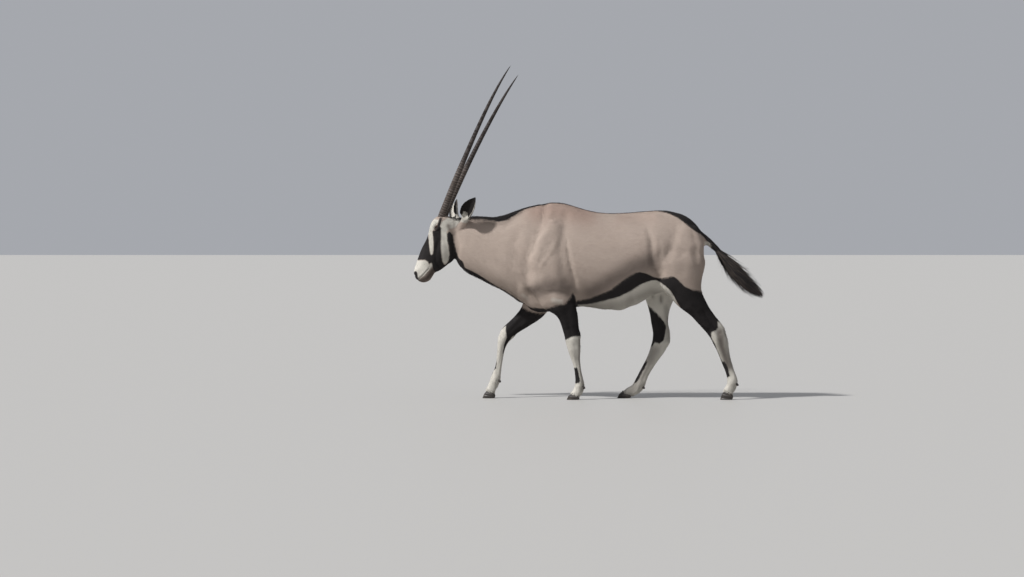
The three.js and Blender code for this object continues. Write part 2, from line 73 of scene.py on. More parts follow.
def on_photo(points, y=0.0):
    """Pixels of the photo as rows of (x, z) on the upright plane at y."""
    points = np.array(points, float)
    reach = (y - CAMERA_PLACE.y) / FOCUS
    x = CAMERA_PLACE.x + (points[:, 0] - PHOTO_WIDTH / 2) * reach
    z = CAMERA_PLACE.z - (points[:, 1] - EYE_LEVEL_ROW) * reach
    return np.stack([x, z], 1)


lens = bpy.data.cameras.new("camera")
lens.sensor_width = SENSOR
lens.lens = SENSOR * FOCUS / PHOTO_WIDTH
lens.clip_end = FARTHEST
camera = placed("camera", lens)
tilt = math.atan((PHOTO_HEIGHT / 2 - EYE_LEVEL_ROW) / FOCUS)
camera.rotation_euler = Euler((math.pi / 2 - tilt, 0, 0))
camera.location = CAMERA_PLACE
scene.camera = camera
print(f"lens {lens.lens:.1f} mm, tilted down {math.degrees(tilt):.2f} degrees")

# %% [markdown]
# ## Helpers for meshes
# A mesh of a hundred thousand points is moved quickest as one array of numbers. These helpers
# read and write such arrays, and smooth them. Plain smoothing shrinks a form. Each round here
# moves every point towards its neighbours and then a little more than that back out, which
# removes small bumps and leaves the size alone.

# %% Helpers for meshes
SMOOTH_STEP, SMOOTH_BACK = 0.5, -0.52


def rows_of(items, field, width, kind=float):
    """One field of a mesh's points, edges, triangles or the like, as rows of numbers."""
    flat = np.zeros(len(items) * width, kind)
    items.foreach_get(field, flat)
    return flat.reshape(-1, width)


def places_of(mesh):
    return rows_of(mesh.vertices, "co", 3)


def normals_of(mesh):
    return rows_of(mesh.vertices, "normal", 3)


def triangle_count(mesh):
    mesh.calc_loop_triangles()
    return len(mesh.loop_triangles)


def bmesh_of(mesh):
    made = bmesh.new()
    made.from_mesh(mesh)
    return made


def to_mesh(made, mesh):
    """Ends the bmesh, and leaves its shape in the mesh."""
    made.to_mesh(mesh)
    made.free()
    return mesh


def in_order(mesh, name):
    """The same shape as a new mesh, with its faces in an order that every run repeats."""
    faces = []
    for face in mesh.polygons:
        corners = list(face.vertices)
        first = corners.index(min(corners))
        faces.append(corners[first:] + corners[:first])
    made = bpy.data.meshes.new(name)
    made.from_pydata(places_of(mesh).tolist(), [], sorted(faces))
    return made


def set_places(mesh, places):
    mesh.vertices.foreach_set("co", places.ravel())
    mesh.update()


def smooth(mesh, rounds, share=None, back=SMOOTH_BACK):
    """Smooths the mesh, each point by its share. With back=0 it rounds off more, and shrinks."""
    places, edges = places_of(mesh), rows_of(mesh.edges, "vertices", 2, np.int32)
    share = np.ones(len(places)) if share is None else share
    here = np.concatenate([edges[:, 0], edges[:, 1]])
    there = np.concatenate([edges[:, 1], edges[:, 0]])
    # Near neighbours count for more, so that a change of mesh size leaves no ridge.
    length = np.linalg.norm(places[here] - places[there], axis=1)
    neighbours = np.maximum(np.bincount(here, minlength=len(places)), 1)
    usual = np.bincount(here, length, len(places)) / neighbours
    pull = 1 / np.maximum(length, 0.5 * usual[here] + 1e-6)
    total = np.maximum(np.bincount(here, pull, len(places)), 1e-9)
    for _ in range(rounds):
        for step in (SMOOTH_STEP, back) if back else (SMOOTH_STEP,):
            sums = [np.bincount(here, pull * column[there], len(places)) for column in places.T]
            towards = np.stack(sums, 1) / total[:, None] - places
            places = places + step * share[:, None] * towards
    set_places(mesh, places)


def rise(values, start, end):
    """0 up to start, 1 from end on, and a smooth step between them."""
    t = np.clip((np.asarray(values, float) - start) / (end - start), 0, 1)
    return t * t * (3 - 2 * t)


def with_modifier(mesh, kind, **settings):
    """A new mesh: this one as the modifier leaves it."""
    holder = placed("holder", mesh)
    modifier = holder.modifiers.new("step", kind)
    for name, value in settings.items():
        setattr(modifier, name, value)
    graph = bpy.context.evaluated_depsgraph_get()
    made = bpy.data.meshes.new_from_object(holder.evaluated_get(graph))
    bpy.data.objects.remove(holder)
    return made


# %% [markdown]
# ## The skin
# The flesh of the frame is cut into parts with thin gaps between them. On the animal one skin
# runs over all of it. The parts are merged into one closed surface with a voxel remesh, which
# forgets the gaps, and the flat facets of the solids are smoothed away. Eyes and hooves fill
# their sockets during this step, so that the skin closes over them, and come out again later.

# %% One closed surface
LEGS = ("foreleg_left", "foreleg_right", "hindleg_left", "hindleg_right")
SIDES = {"left": -1, "right": 1}
FLESH = ["trunk", "neck", "head", "lower_jaw", "tail"]
FLESH += [f"{leg}_{half}" for leg in LEGS for half in ("upper", "lower")]
FILLERS = ["eye_left", "eye_right"]
FILLERS += [f"{leg}_claw_{side}" for leg in LEGS for side in ("outer", "inner")]
OVERLAP = 0.0006         # closes the gaps between the parts
VOXEL = 0.0125
FIRST_ROUNDS = 80        # of smoothing, for the facets' edges


def joined(names):
    """A bmesh of these nodes, with merged points."""
    made = bmesh.new()
    for name in names:
        made.from_mesh(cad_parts[name].data)
    bmesh.ops.remove_doubles(made, verts=made.verts, dist=1e-5)
    bmesh.ops.triangulate(made, faces=made.faces)
    return made


solids = joined(FLESH + FILLERS)
solid_tree = BVHTree.FromBMesh(solids)
# The corners of each facet, and the direction in which the rounded body would face there.
SMOOTH_EDGE = 0.6        # facets that meet more sharply than this cosine keep their edge
facet_corners = np.array([[vertex.co for vertex in face.verts] for face in solids.faces])
facet_normals = np.array([
    [
        sum(
            (
                other.normal * other.calc_area()
                for other in vertex.link_faces
                if other.normal.dot(face.normal) > SMOOTH_EDGE
            ),
            Vector(),
        ).normalized()
        for vertex in face.verts
    ]
    for face in solids.faces
])

grown = bpy.data.meshes.new("grown")
for vertex in solids.verts:
    vertex.co += vertex.normal * OVERLAP
to_mesh(solids, grown)
skin_mesh = with_modifier(grown, "REMESH", mode="VOXEL", voxel_size=VOXEL)
print("remeshed:", len(skin_mesh.polygons), "faces")

smooth(skin_mesh, FIRST_ROUNDS)

# %% [markdown]
# The face and the lower legs have finer forms than the barrel, so their faces are divided again:
# the head twice, the legs below the elbow and the tail once. The new points are laid back onto
# the solids, which brings back what the coarse voxels lost, and smoothed a little.

# %% Finer faces on the head, the legs and the tail
HEAD_START = -0.785
FINE_LEG_TOP = 0.45
TAIL_START = 0.70
ROUNDED_SHARE = 0.8      # how far a facet is bulged towards its rounded form


def divide(mesh, wanted):
    """Divides the faces whose middles wanted(x, y, z) picks."""
    made = bmesh_of(mesh)
    faces = [face for face in made.faces if wanted(*face.calc_center_median())]
    edges = list({edge for face in faces for edge in face.edges})
    bmesh.ops.subdivide_edges(made, edges=edges, cuts=1, use_grid_fill=True)
    to_mesh(made, mesh)


def lay_on_solids(mesh, share, reach):
    """Moves each point by its share onto the solids, with their facets rounded.

    The further away the solids are, up to the reach, the less it moves."""
    places = places_of(mesh)
    picked = np.flatnonzero(share > 0)
    hits = [solid_tree.find_nearest(places[i]) for i in picked]
    spots = np.array([hit[0] for hit in hits])
    facets = np.array([hit[2] for hit in hits])
    corners, normals = facet_corners[facets], facet_normals[facets]
    # The share of each corner in the spot, from the areas of the triangles opposite to it.
    gone = spots[:, None] - corners
    opposite = np.cross(np.roll(gone, -1, 1), np.roll(gone, -2, 1))
    weights = np.linalg.norm(opposite, axis=2) + 1e-12
    weights /= weights.sum(1, keepdims=True)
    # Each corner's own tangent plane, seen from the spot.
    planes = spots[:, None] - (gone * normals).sum(2, keepdims=True) * normals
    rounded = (planes * weights[:, :, None]).sum(1)
    target = spots + ROUNDED_SHARE * (rounded - spots)
    away = target - places[picked]
    far = np.linalg.norm(away, axis=1)
    step = share[picked] * rise(-far, -reach[picked], -0.4 * reach[picked])
    places[picked] += step[:, None] * away
    set_places(mesh, places)


FACE_START = -0.87       # from here to the muzzle, and on the legs, the solids count most


def fine_share(mesh):
    x, y, z = places_of(mesh).T
    return np.maximum.reduce([
        rise(-x, -FACE_START - 0.02, -FACE_START + 0.04),
        rise(-z, -FINE_LEG_TOP - 0.02, -FINE_LEG_TOP + 0.10),
        rise(x, TAIL_START + 0.02, TAIL_START + 0.06),
    ])


divide(skin_mesh, lambda x, y, z: x < HEAD_START or z < FINE_LEG_TOP or x > TAIL_START)
for _ in range(2):
    fine = fine_share(skin_mesh)
    lay_on_solids(skin_mesh, 0.7 + 0.3 * fine, 0.008 + 0.014 * fine)
    smooth(skin_mesh, 14)
smooth(skin_mesh, 30, 1 - fine_share(skin_mesh))
divide(skin_mesh, lambda x, y, z: x < HEAD_START - 0.02)
smooth(skin_mesh, 16, rise(-places_of(skin_mesh)[:, 0], -HEAD_START - 0.02, -HEAD_START + 0.08))

print("divided:", len(skin_mesh.polygons), "faces")

# %% [markdown]
# The head is turned 13 degrees to the animal's right, and the neck bends to follow. The forms of
# the head are easier to place on a head that looks straight ahead, so `straightened` undoes the
# turn for any places, and `turned` repeats it.

# %% The turn of the head
HEAD_TURN = math.radians(13)
NECK_BASE_X, POLL_X = -0.440, -0.815
NECK_REACH = NECK_BASE_X - POLL_X


def neck_turn(x):
    """How far sideways the neck has bent at x, and its angle there."""
    run = np.clip(NECK_BASE_X - x, 0, NECK_REACH)
    beyond = np.maximum(POLL_X - x, 0)
    slope = math.tan(HEAD_TURN)
    return slope * (run * run / (2 * NECK_REACH) + beyond), np.arctan(slope * run / NECK_REACH)


def straightened(places):
    """Where these places are on an animal that looks straight ahead."""
    x_seen, y_seen, z = np.asarray(places, float).T
    x = x_seen
    for _ in range(4):
        shift, angle = neck_turn(x)
        y = (y_seen - shift) / np.cos(angle)
        x = x_seen - y * np.sin(angle)
    return np.stack([x, y, z], 1)


def turned(places):
    """Where places on the straight head are, once it is turned."""
    x, y, z = np.atleast_2d(np.asarray(places, float)).T
    shift = math.tan(HEAD_TURN) * (NECK_REACH / 2 + POLL_X - x)
    return np.stack([x + y * math.sin(HEAD_TURN), shift + y * math.cos(HEAD_TURN), z], 1)


def turned_way(way, base):
    """Where a direction at this place points, once the head is turned."""
    return turned(base + way)[0] - turned(base)[0]


print("turn of the head:", round(math.degrees(HEAD_TURN)), "degrees")

# %% [markdown]
# ## Forms under the skin
# The skin lies inside the solids by the depth of the coat. Then muscles, bones, tendons and folds
# are pushed out or pressed in, as a sculptor does with a thumb. Each form is a path with a width
# and a height, and the push fades away from the path as a bell curve. Paths on the flanks, the
# shoulders and the head are seen from the side, and are made on both sides.

# %% Pushing forms out and in
EYE = {"x": -0.919, "z": 1.052, "side": 0.0585, "radius": 0.0195}
NOSTRIL = (-1.064, 0.026, 0.763)


def away_from(points, path):
    """Each point's distance from the path, and how far along the path that is, from 0 to 1."""
    points, path = np.asarray(points, float), np.asarray(path, float)
    nearest = np.full(len(points), np.inf)
    along = np.zeros(len(points))
    count = max(len(path) - 1, 1)
    for i in range(count):
        start, step = path[i], path[min(i + 1, len(path) - 1)] - path[i]
        t = np.clip((points - start) @ step / max(step @ step, 1e-12), 0, 1)
        distance = np.linalg.norm(points - start - t[:, None] * step, axis=1)
        closer = distance < nearest
        nearest[closer] = distance[closer]
        along[closer] = (i + t[closer]) / count
    return nearest, along


def bell(distance, width):
    return np.exp(-((distance / width) ** 2))


def push(mesh, heights):
    """Moves each point along its normal by its height."""
    set_places(mesh, places_of(mesh) + normals_of(mesh) * heights[:, None])


def near(place, reach):
    """Picks what is this near to the place, on either side of the straight head."""
    both = [Vector(turned((place[0], side * place[1], place[2]))[0]) for side in (-1, 1)]
    return lambda x, y, z: any((Vector((x, y, z)) - middle).length < reach for middle in both)


SOCKET = (EYE["x"], EYE["side"] + 0.012, EYE["z"])
divide(skin_mesh, near(SOCKET, 0.036))
divide(skin_mesh, near(SOCKET, 0.024))
divide(skin_mesh, near(NOSTRIL, 0.026))
x, y, z = straightened(places_of(skin_mesh)).T
on_face = rise(-x, 0.80, 0.84)
on_foot = rise(-z, -0.45, -0.30)
COAT_DEPTH, FACE_COAT_DEPTH = 0.004, 0.0015
depth = COAT_DEPTH + (FACE_COAT_DEPTH - COAT_DEPTH) * np.maximum(on_face, on_foot)
push(skin_mesh, -depth)
print("skin:", triangle_count(skin_mesh), "triangles")

# %% [markdown]
# The forms of the barrel are read off the photo: the fold behind the shoulder, the shoulder
# blade's spine, the hollow of the flank, and the line where the thigh starts. The legs stand
# differently on the two sides, so a form's lower end follows the leg of its own side.

# %% Muscles and folds of the body
# Each form is: its path on the photo, its width and its height.
BODY_FORMS = {
    "fold behind the shoulder": (
        [(565, 240), (567, 254), (570, 268), (573, 280), (577, 292)], 0.012, -0.010,
    ),
    "upper arm": ([(552, 252), (556, 268), (560, 284)], 0.050, 0.009),
    "spine of the shoulder blade": ([(549, 212), (541, 238), (532, 266)], 0.024, 0.006),
    "hollow behind the blade": ([(564, 216), (562, 236)], 0.034, -0.006),
    "neck meets shoulder": ([(519, 226), (513, 246), (512, 270), (518, 292)], 0.032, -0.006),
    "point of the shoulder": ([(522, 290), (527, 298)], 0.032, 0.007),
    "elbow": ([(555, 299), (563, 301)], 0.020, 0.009),
    "fold over the elbow": ([(543, 293), (553, 291), (562, 292), (570, 296)], 0.010, -0.006),
    "first skin fold": ([(560, 231), (551, 250), (542, 262), (533, 278)], 0.009, 0.0035),
    "second skin fold": ([(534, 232), (531, 250), (526, 268)], 0.014, 0.0025),
    "hollow of the flank": ([(632, 214), (641, 222)], 0.060, -0.012),
    "hook bone": ([(650, 207), (654, 209)], 0.034, 0.012),
    "fold of the flank": (
        [(646, 230), (650, 242), (651, 254), (653, 265), (659, 277)], 0.017, -0.012,
    ),
    "front of the thigh": ([(660, 236), (663, 254), (668, 270)], 0.040, 0.008),
    "thigh crease": ([(658, 240), (659, 250), (656, 262)], 0.011, -0.004),
    "hamstring groove": ([(690, 224), (695, 244), (698, 266), (700, 284)], 0.022, -0.006),
    "pin bone": ([(702, 226), (704, 230)], 0.030, 0.007),
    "brisket": ([(527, 304), (540, 308)], 0.030, 0.004),
    "jugular groove": ([(459, 262), (480, 280), (500, 292), (514, 298)], 0.016, -0.006),
    "neck muscle": ([(455, 240), (474, 258), (494, 272), (514, 284)], 0.040, 0.006),
    "nape ligament": ([(462, 222), (482, 226), (504, 226), (520, 218)], 0.022, -0.005),
}
# How much further back, in metres, the right leg's elbow and stifle lie than the left one's.
RIGHT_ELBOW, RIGHT_STIFLE = -0.150, -0.115
ELBOW_HEIGHT, WITHERS_HEIGHT, MIDDLE_X = 0.60, 1.10, 0.15
FLANK_Y = -0.17          # how far to the side the photographed flank lies
CHEST_X = -0.55          # forms in front of it stay where they are


def side_path(path, side):
    """A path of the photo on this side of the animal, following how its leg stands there."""
    found = on_photo(path, FLANK_Y)
    if side > 0:
        swing = RIGHT_ELBOW if found[:, 0].mean() < MIDDLE_X else RIGHT_STIFLE
        low = 1 - np.clip((found[:, 1] - ELBOW_HEIGHT) / (WITHERS_HEIGHT - ELBOW_HEIGHT), 0, 1)
        on_leg = found[:, 0] > CHEST_X
        found[:, 0] += swing * low * on_leg
    return found


straight = straightened(places_of(skin_mesh))
normals = normals_of(skin_mesh)
x, y, z = straight.T
heights = np.zeros(len(x))
for side in (-1, 1):
    facing = rise(side * normals[:, 1], 0.15, 0.55) * rise(z, 0.50, 0.58) * rise(-x, -0.76, -0.70)
    facing *= rise(x, -0.84, -0.80)
    for path, width, height in BODY_FORMS.values():
        distance, along = away_from(straight[:, [0, 2]], side_path(path, side))
        ends = 0.4 + 0.6 * rise(np.minimum(along, 1 - along), 0, 0.25) if len(path) > 2 else 1
        heights += facing * ends * height * bell(distance, width)
push(skin_mesh, heights)
print("body forms:", round(heights.min() * 1000, 1), "to", round(heights.max() * 1000, 1), "mm")

# %% [markdown]
# A leg's forms run along its bones. Between two joints a place is told by how far down the bone
# it lies and by its angle round it: 0 at the front, 90 degrees at either side, 180 at the back.
# The tendons behind the cannon bone and above the hock leave a groove on each side.

# %% Bones and tendons of the legs
# Joints, from the elbow or stifle down to the coronet: x, z and sideways place.
JOINTS = {
    "foreleg_left": [
        (-0.150, 0.585, 0.124), (-0.100, 0.362, 0.106), (-0.060, 0.092, 0.089), (-0.090, 0.028, 0.086),
    ],
    "foreleg_right": [
        (-0.330, 0.560, 0.120), (-0.521, 0.376, 0.101), (-0.582, 0.110, 0.086), (-0.612, 0.036, 0.084),
    ],
    "hindleg_left": [
        (0.560, 0.660, 0.120), (0.790, 0.389, 0.100), (0.877, 0.106, 0.086), (0.851, 0.045, 0.084),
    ],
    "hindleg_right": [
        (0.415, 0.650, 0.120), (0.444, 0.345, 0.100), (0.308, 0.078, 0.087), (0.245, 0.033, 0.085),
    ],
}
# Each form: the bone, its start and end along it, the angle, the angle's reach, and the height.
FORE_FORMS = [
    (0, 0.05, 0.55, 45, 30, 0.006),      # extensor muscles
    (0, 0.10, 0.85, 85, 16, -0.003),     # groove between the muscles
    (0, 0.05, 0.50, 135, 35, 0.004),     # flexor muscles
    (0, 0.84, 0.92, 180, 30, 0.006),     # the small bone behind the knee
    (0, 0.93, 1.00, 80, 30, 0.003),      # knee
    (1, 0.00, 0.05, 0, 45, 0.002),
    (1, 0.10, 0.86, 105, 20, -0.0028),   # tendon groove
    (1, 0.10, 0.90, 0, 25, -0.0008),     # flat front of the cannon
    (1, 0.93, 1.00, 90, 30, 0.003),      # fetlock
    (2, 0.20, 0.80, 100, 30, -0.002),    # hollow of the pastern
]
HIND_FORMS = [
    (0, 0.25, 0.70, 55, 35, 0.006),
    (0, 0.48, 0.93, 125, 24, -0.010),    # hollow before the hamstring's tendon
    (0, 0.90, 1.00, 70, 30, 0.004),      # hock
    (1, 0.00, 0.05, 100, 25, -0.003),
    (1, 0.00, 0.10, 60, 30, 0.003),
    (1, 0.14, 0.86, 105, 20, -0.003),
    (1, 0.93, 1.00, 90, 30, 0.003),
    (2, 0.20, 0.80, 100, 30, -0.002),
]
END_FADE = 0.10          # share of a bone over which a form fades at its ends
LEG_REACH = (0.12, 0.16) # how far from the bone the forms start to fade, and end


def along_bone(places, start, end):
    """How far down the bone each place is, its distance from the bone and its angle round it."""
    bone = end - start
    length = np.linalg.norm(bone)
    down = bone / length
    front = np.cross(down, (0, 1, 0))
    front *= -np.sign(front[0])
    t = (places - start) @ down / length
    ahead = (places - start) @ front
    aside = np.abs((places - start)[:, 1] - t * bone[1])
    return t, np.hypot(ahead, aside), np.degrees(np.arctan2(aside, ahead))


def leg_joints(leg):
    side = -1 if leg.endswith("left") else 1
    return np.array([(x, side * y, z) for x, z, y in JOINTS[leg]])


places = places_of(skin_mesh)
heights = np.zeros(len(places))
for leg in LEGS:
    joints = leg_joints(leg)
    own_side = places[:, 1] * joints[0, 1] > 0
    for bone, start, end, angle, reach, height in FORE_FORMS if leg.startswith("fore") else HIND_FORMS:
        t, distance, round_it = along_bone(places, joints[bone], joints[bone + 1])
        length_share = rise(t, start - END_FADE, start) * rise(-t, -end - END_FADE, -end)
        close_by = rise(-distance, -LEG_REACH[1], -LEG_REACH[0]) * own_side
        heights += height * close_by * length_share * bell(round_it - angle, reach)
push(skin_mesh, heights)
print("leg forms:", round(heights.min() * 1000, 1), "to", round(heights.max() * 1000, 1), "mm")

# %% [markdown]
# ## The head
# The mouth is a closed line from the muzzle's front to its corner. The nostril is a comma-shaped
# slit with a raised wing. The jaw stands clear of the neck, the cheek muscle bulges behind the
# mouth, and a low crest of bone runs from below the eye towards the nose.

# %% Forms of the head
# Each form is: its path on the photo, its width and its height.
FACE_FORMS = {
    "cheek muscle": ([(447, 246), (446, 260)], 0.034, 0.005),
    "front edge of the cheek": ([(441, 240), (438, 252), (437, 262), (440, 268)], 0.011, -0.004),
    "crest below the eye": ([(443, 238), (436, 245), (430, 254)], 0.012, 0.0022),
    "orbit": ([(437, 227), (439, 228)], 0.030, 0.0065),
    "tear line": ([(434, 231), (431, 240), (428, 249)], 0.006, -0.002),
    "side of the nose": ([(426, 246), (421, 258), (419, 266)], 0.010, -0.0035),
    "rear edge of the jaw": ([(450, 238), (452, 250), (450, 262)], 0.012, 0.004),
    "behind the jaw": ([(456, 236), (459, 248), (458, 258), (454, 267)], 0.017, -0.007),
    "temple": ([(444, 224), (449, 231)], 0.016, -0.004),
    "brow": ([(432, 224), (437, 220.5), (443, 222)], 0.009, 0.0025),
    "upper lip": ([(419, 278), (425, 273), (430, 268)], 0.009, 0.002),
    "lower lip": ([(419, 284), (426, 280), (432, 273)], 0.010, 0.002),
    "chin": ([(420, 285), (424, 284)], 0.014, 0.003),
    "mouth": ([(412, 282.5), (418, 280.5), (424, 275.5), (430, 268.5)], 0.0035, -0.005),
    "corner of the mouth": ([(430, 268.5), (431, 267)], 0.004, -0.002),
}
# Places on the straight head: x, sideways and z.
NOSTRIL_LINE = [
    (-1.0725, 0.010, 0.755), (-1.0710, 0.019, 0.756), (-1.066, 0.027, 0.762), (-1.057, 0.034, 0.772),
]
NOSTRIL_FORMS = [
    (0.0045, -0.011),    # the opening
    (0.0120, 0.004),     # the wing round it
]
MIDLINE_GROOVE = [(-1.076, 0, 0.780), (-1.072, 0, 0.744)]
GROOVE_DEPTH, GROOVE_WIDTH = 0.0025, 0.004
print("forms of the face:", len(FACE_FORMS))

# %% [markdown]
# The lids roll over the eyeball and leave an almond open between them. Modelled lids would need
# seams in the skin. Here the skin round each eye is moved to the distance from the eye's middle
# that a lid has there, and falls inside the ball where the eye is open.

# %% Helpers for the eyelids
LIDS = (50, 36, 31)      # half width of the almond and how far each lid opens, in degrees
LID_SINK, LID_HEIGHT = 0.0045, 0.0068
FOLD_HEIGHT, CREASE_DEPTH = 0.0016, 0.0008
LID_REACH = 0.04


def eye_frame(side):
    """The middle of an eye, where it looks, and the almond's two ways, on the straight head."""
    middle = np.array([EYE["x"], side * EYE["side"], EYE["z"]])
    facing = np.array([-0.36, side * 0.92, 0.10])
    facing /= np.linalg.norm(facing)
    along = np.array([-0.62, 0, -0.78])
    along -= facing * (along @ facing)
    along /= np.linalg.norm(along)
    up = np.cross(along, facing) * side
    return middle, facing, along, up * np.sign(up[2])


def eased_eye(straight):
    """The skin round the eyes, as lids: rolled over the eyeball, and open in an almond between."""
    made = straight.copy()
    wide, upper, lower = LIDS
    for side in (-1, 1):
        middle, facing, along, up = eye_frame(side)
        away = made - middle
        far = np.linalg.norm(away, axis=1)
        here = far < LID_REACH
        away, far = away[here] / far[here, None], far[here]
        ahead = away @ facing
        across = np.degrees(np.arctan2(away @ along, ahead))
        above = np.degrees(np.arctan2(away @ up, ahead))
        opening = np.sqrt(np.clip(1 - (across / wide) ** 2, 0, None))
        # How far outside the almond's edge a place is, in degrees.
        edge = np.where(above > 0, above - upper * opening, -above - lower * opening)
        edge = np.where(np.abs(across) > wide, np.hypot(np.abs(across) - wide, above), edge)
        wanted = EYE["radius"] - LID_SINK + LID_HEIGHT * rise(edge, -9, 5)
        wanted += FOLD_HEIGHT * bell(edge - 22, 8) * (above > 0) - CREASE_DEPTH * bell(edge - 12, 5)
        angle = np.degrees(np.arccos(np.clip(ahead, -1, 1)))
        share = rise(-angle, -96, -52) * rise(-far, -0.036, -0.025)
        made[here] = middle + away * ((1 - share) * far + share * wanted)[:, None]
    return made


# %% The head's forms, the mouth and the lids
straight = straightened(places_of(skin_mesh))
normals = normals_of(skin_mesh)
beside = straight * (1, 0, 1) + np.abs(straight) * (0, 1, 0)
heights = np.zeros(len(straight))
on_head = rise(-straight[:, 0], 0.775, 0.80)
facing = rise(np.abs(normals[:, 1]), 0.12, 0.5) * on_head
for name, (path, width, height) in FACE_FORMS.items():
    distance = away_from(straight[:, [0, 2]], on_photo(path))[0]
    share = on_head if name in ("mouth", "chin", "lower lip") else facing
    heights += share * height * bell(distance, width)
distance = away_from(beside, NOSTRIL_LINE)[0]
for width, height in reversed(NOSTRIL_FORMS):
    heights += height * bell(distance, width)
heights -= GROOVE_DEPTH * bell(away_from(straight, MIDLINE_GROOVE)[0], GROOVE_WIDTH)
push(skin_mesh, heights)

smooth(skin_mesh, 3)
straight = straightened(places_of(skin_mesh))
lidded = eased_eye(straight)
moved = np.linalg.norm(lidded - straight, axis=1) > 0
places = places_of(skin_mesh)
places[moved] = turned(lidded[moved])
set_places(skin_mesh, places)
print("eyelids moved", moved.sum(), "points")

# %% [markdown]
# ## Ears
# An ear is a leaf of gristle bent into a cup. Each starts as a ball, which is flattened, outlined
# as a leaf and curled round its long axis. The left ear is laid back with its cup to the side,
# the right one is raised with its cup forwards. A boolean joins both to the skin, and the skin
# is smoothed where they meet it.

# %% Ears
# Base, tip, the way the cup opens and the stem's seat in the skull, on the straight head.
EARS = {
    "left": (
        (-0.748, -0.061, 1.104), (-0.668, -0.142, 1.255), (-0.15, -1.0, 0.15), (-0.800, -0.010, 1.030),
    ),
    "right": (
        (-0.818, 0.057, 1.091), (-0.860, 0.138, 1.221), (-0.8, -0.6, 0.0), (-0.808, 0.014, 1.030),
    ),
}
EAR_LENGTH, EAR_THICKNESS, EAR_CUP, EAR_LEAN = 0.166, 0.0044, 1.6, 0.014
STEM_SHARE, STEM_FOOT = 0.26, 0.027
# The leaf's half width, at these shares of its length.
LEAF_AT = (0, 0.12, 0.3, 0.5, 0.7, 0.86, 1)
LEAF_WIDTH = (0.0215, 0.0265, 0.036, 0.042, 0.037, 0.023, 0.002)


def ear_frame(side):
    """Base, and the directions along the ear, out of its cup and across it."""
    base, tip, opening, _ = (np.array(place) for place in EARS[side])
    along = (tip - base) / np.linalg.norm(tip - base)
    out = opening - along * (opening @ along)
    out /= np.linalg.norm(out)
    return base, along, out, np.cross(along, out)


def ear_mesh(side):
    made = bmesh.new()
    bmesh.ops.create_uvsphere(made, u_segments=40, v_segments=44, radius=1)
    base, along, out, across = ear_frame(side)
    seat = np.array(EARS[side][3])
    for vertex in made.verts:
        share = (vertex.co.z + 1) / 2
        ring = math.hypot(vertex.co.x, vertex.co.y) or 1
        thick, over = vertex.co.x / ring, vertex.co.y / ring
        up = (share - STEM_SHARE) / (1 - STEM_SHARE)
        open_share = float(rise(up, -0.02, 0.26))
        half = np.interp(up, LEAF_AT, LEAF_WIDTH)
        if up < 0:
            half = STEM_FOOT + (half - STEM_FOOT) * share / STEM_SHARE
        if ring < 1e-4:
            thick, over = 0, 0
        deep = half + (EAR_THICKNESS / 2 - half) * open_share
        curl = max(EAR_CUP * (1.15 - 0.55 * up) * open_share, 0.02)
        radius = half / math.sin(min(curl, math.pi / 2))
        angle = over * curl
        if up > 0:
            middle = base + along * up * EAR_LENGTH
        else:
            middle = seat + (base - seat) * share / STEM_SHARE
        aside = radius * math.sin(angle) - math.sin(angle) * thick * EAR_THICKNESS / 2
        depth = radius * (1 - math.cos(angle)) + thick * deep - EAR_LEAN * max(up, 0) ** 2
        vertex.co = turned(middle + across * aside + out * depth)[0]
    bmesh.ops.recalc_face_normals(made, faces=made.faces)
    mesh = to_mesh(made, bpy.data.meshes.new(f"ear_{side}"))
    smooth(mesh, 3)
    return mesh


ear_trees = {}
for side in EARS:
    ear = placed("ear", ear_mesh(side))
    shape = bmesh_of(ear.data)
    ear_trees[side] = BVHTree.FromBMesh(shape)
    shape.free()
    skin_mesh = with_modifier(skin_mesh, "BOOLEAN", object=ear, operation="UNION", solver="MANIFOLD")
    bpy.data.objects.remove(ear)
    base, seat = turned([EARS[side][0], EARS[side][3]])
    joint = seat + 0.75 * (base - seat)
    distance = np.linalg.norm(places_of(skin_mesh) - joint, axis=1)
    smooth(skin_mesh, 14, rise(-distance, -0.052, -0.030), back=0)
print("skin with ears:", len(skin_mesh.vertices), "points")

# %% [markdown]
# ## Feet
# The skin ends at the coronet, where the hoof grows out of it. It is cut there along a sloping
# plane, a little below the hoof's upper edge so that no gap shows, and closed.

# %% The skin ends in the hooves
# Toe and heel x of each hoof, its sideways place, and the coronet's height in front.
HOOVES = {
    "foreleg_left": (-0.138, -0.060, 0.086, 0.041),
    "foreleg_right": (-0.656, -0.578, 0.084, 0.050),
    "hindleg_left": (0.805, 0.882, 0.084, 0.057),
    "hindleg_right": (0.177, 0.261, 0.085, 0.045),
}
CORONET_SINK = 0.010
CORONET_SLOPE = 0.020    # the coronet is this much lower at the heel
FOOT_REACH = 0.12        # what is nearer to a hoof's middle belongs to its foot


def side_of(leg):
    return SIDES[leg.split("_")[1]]


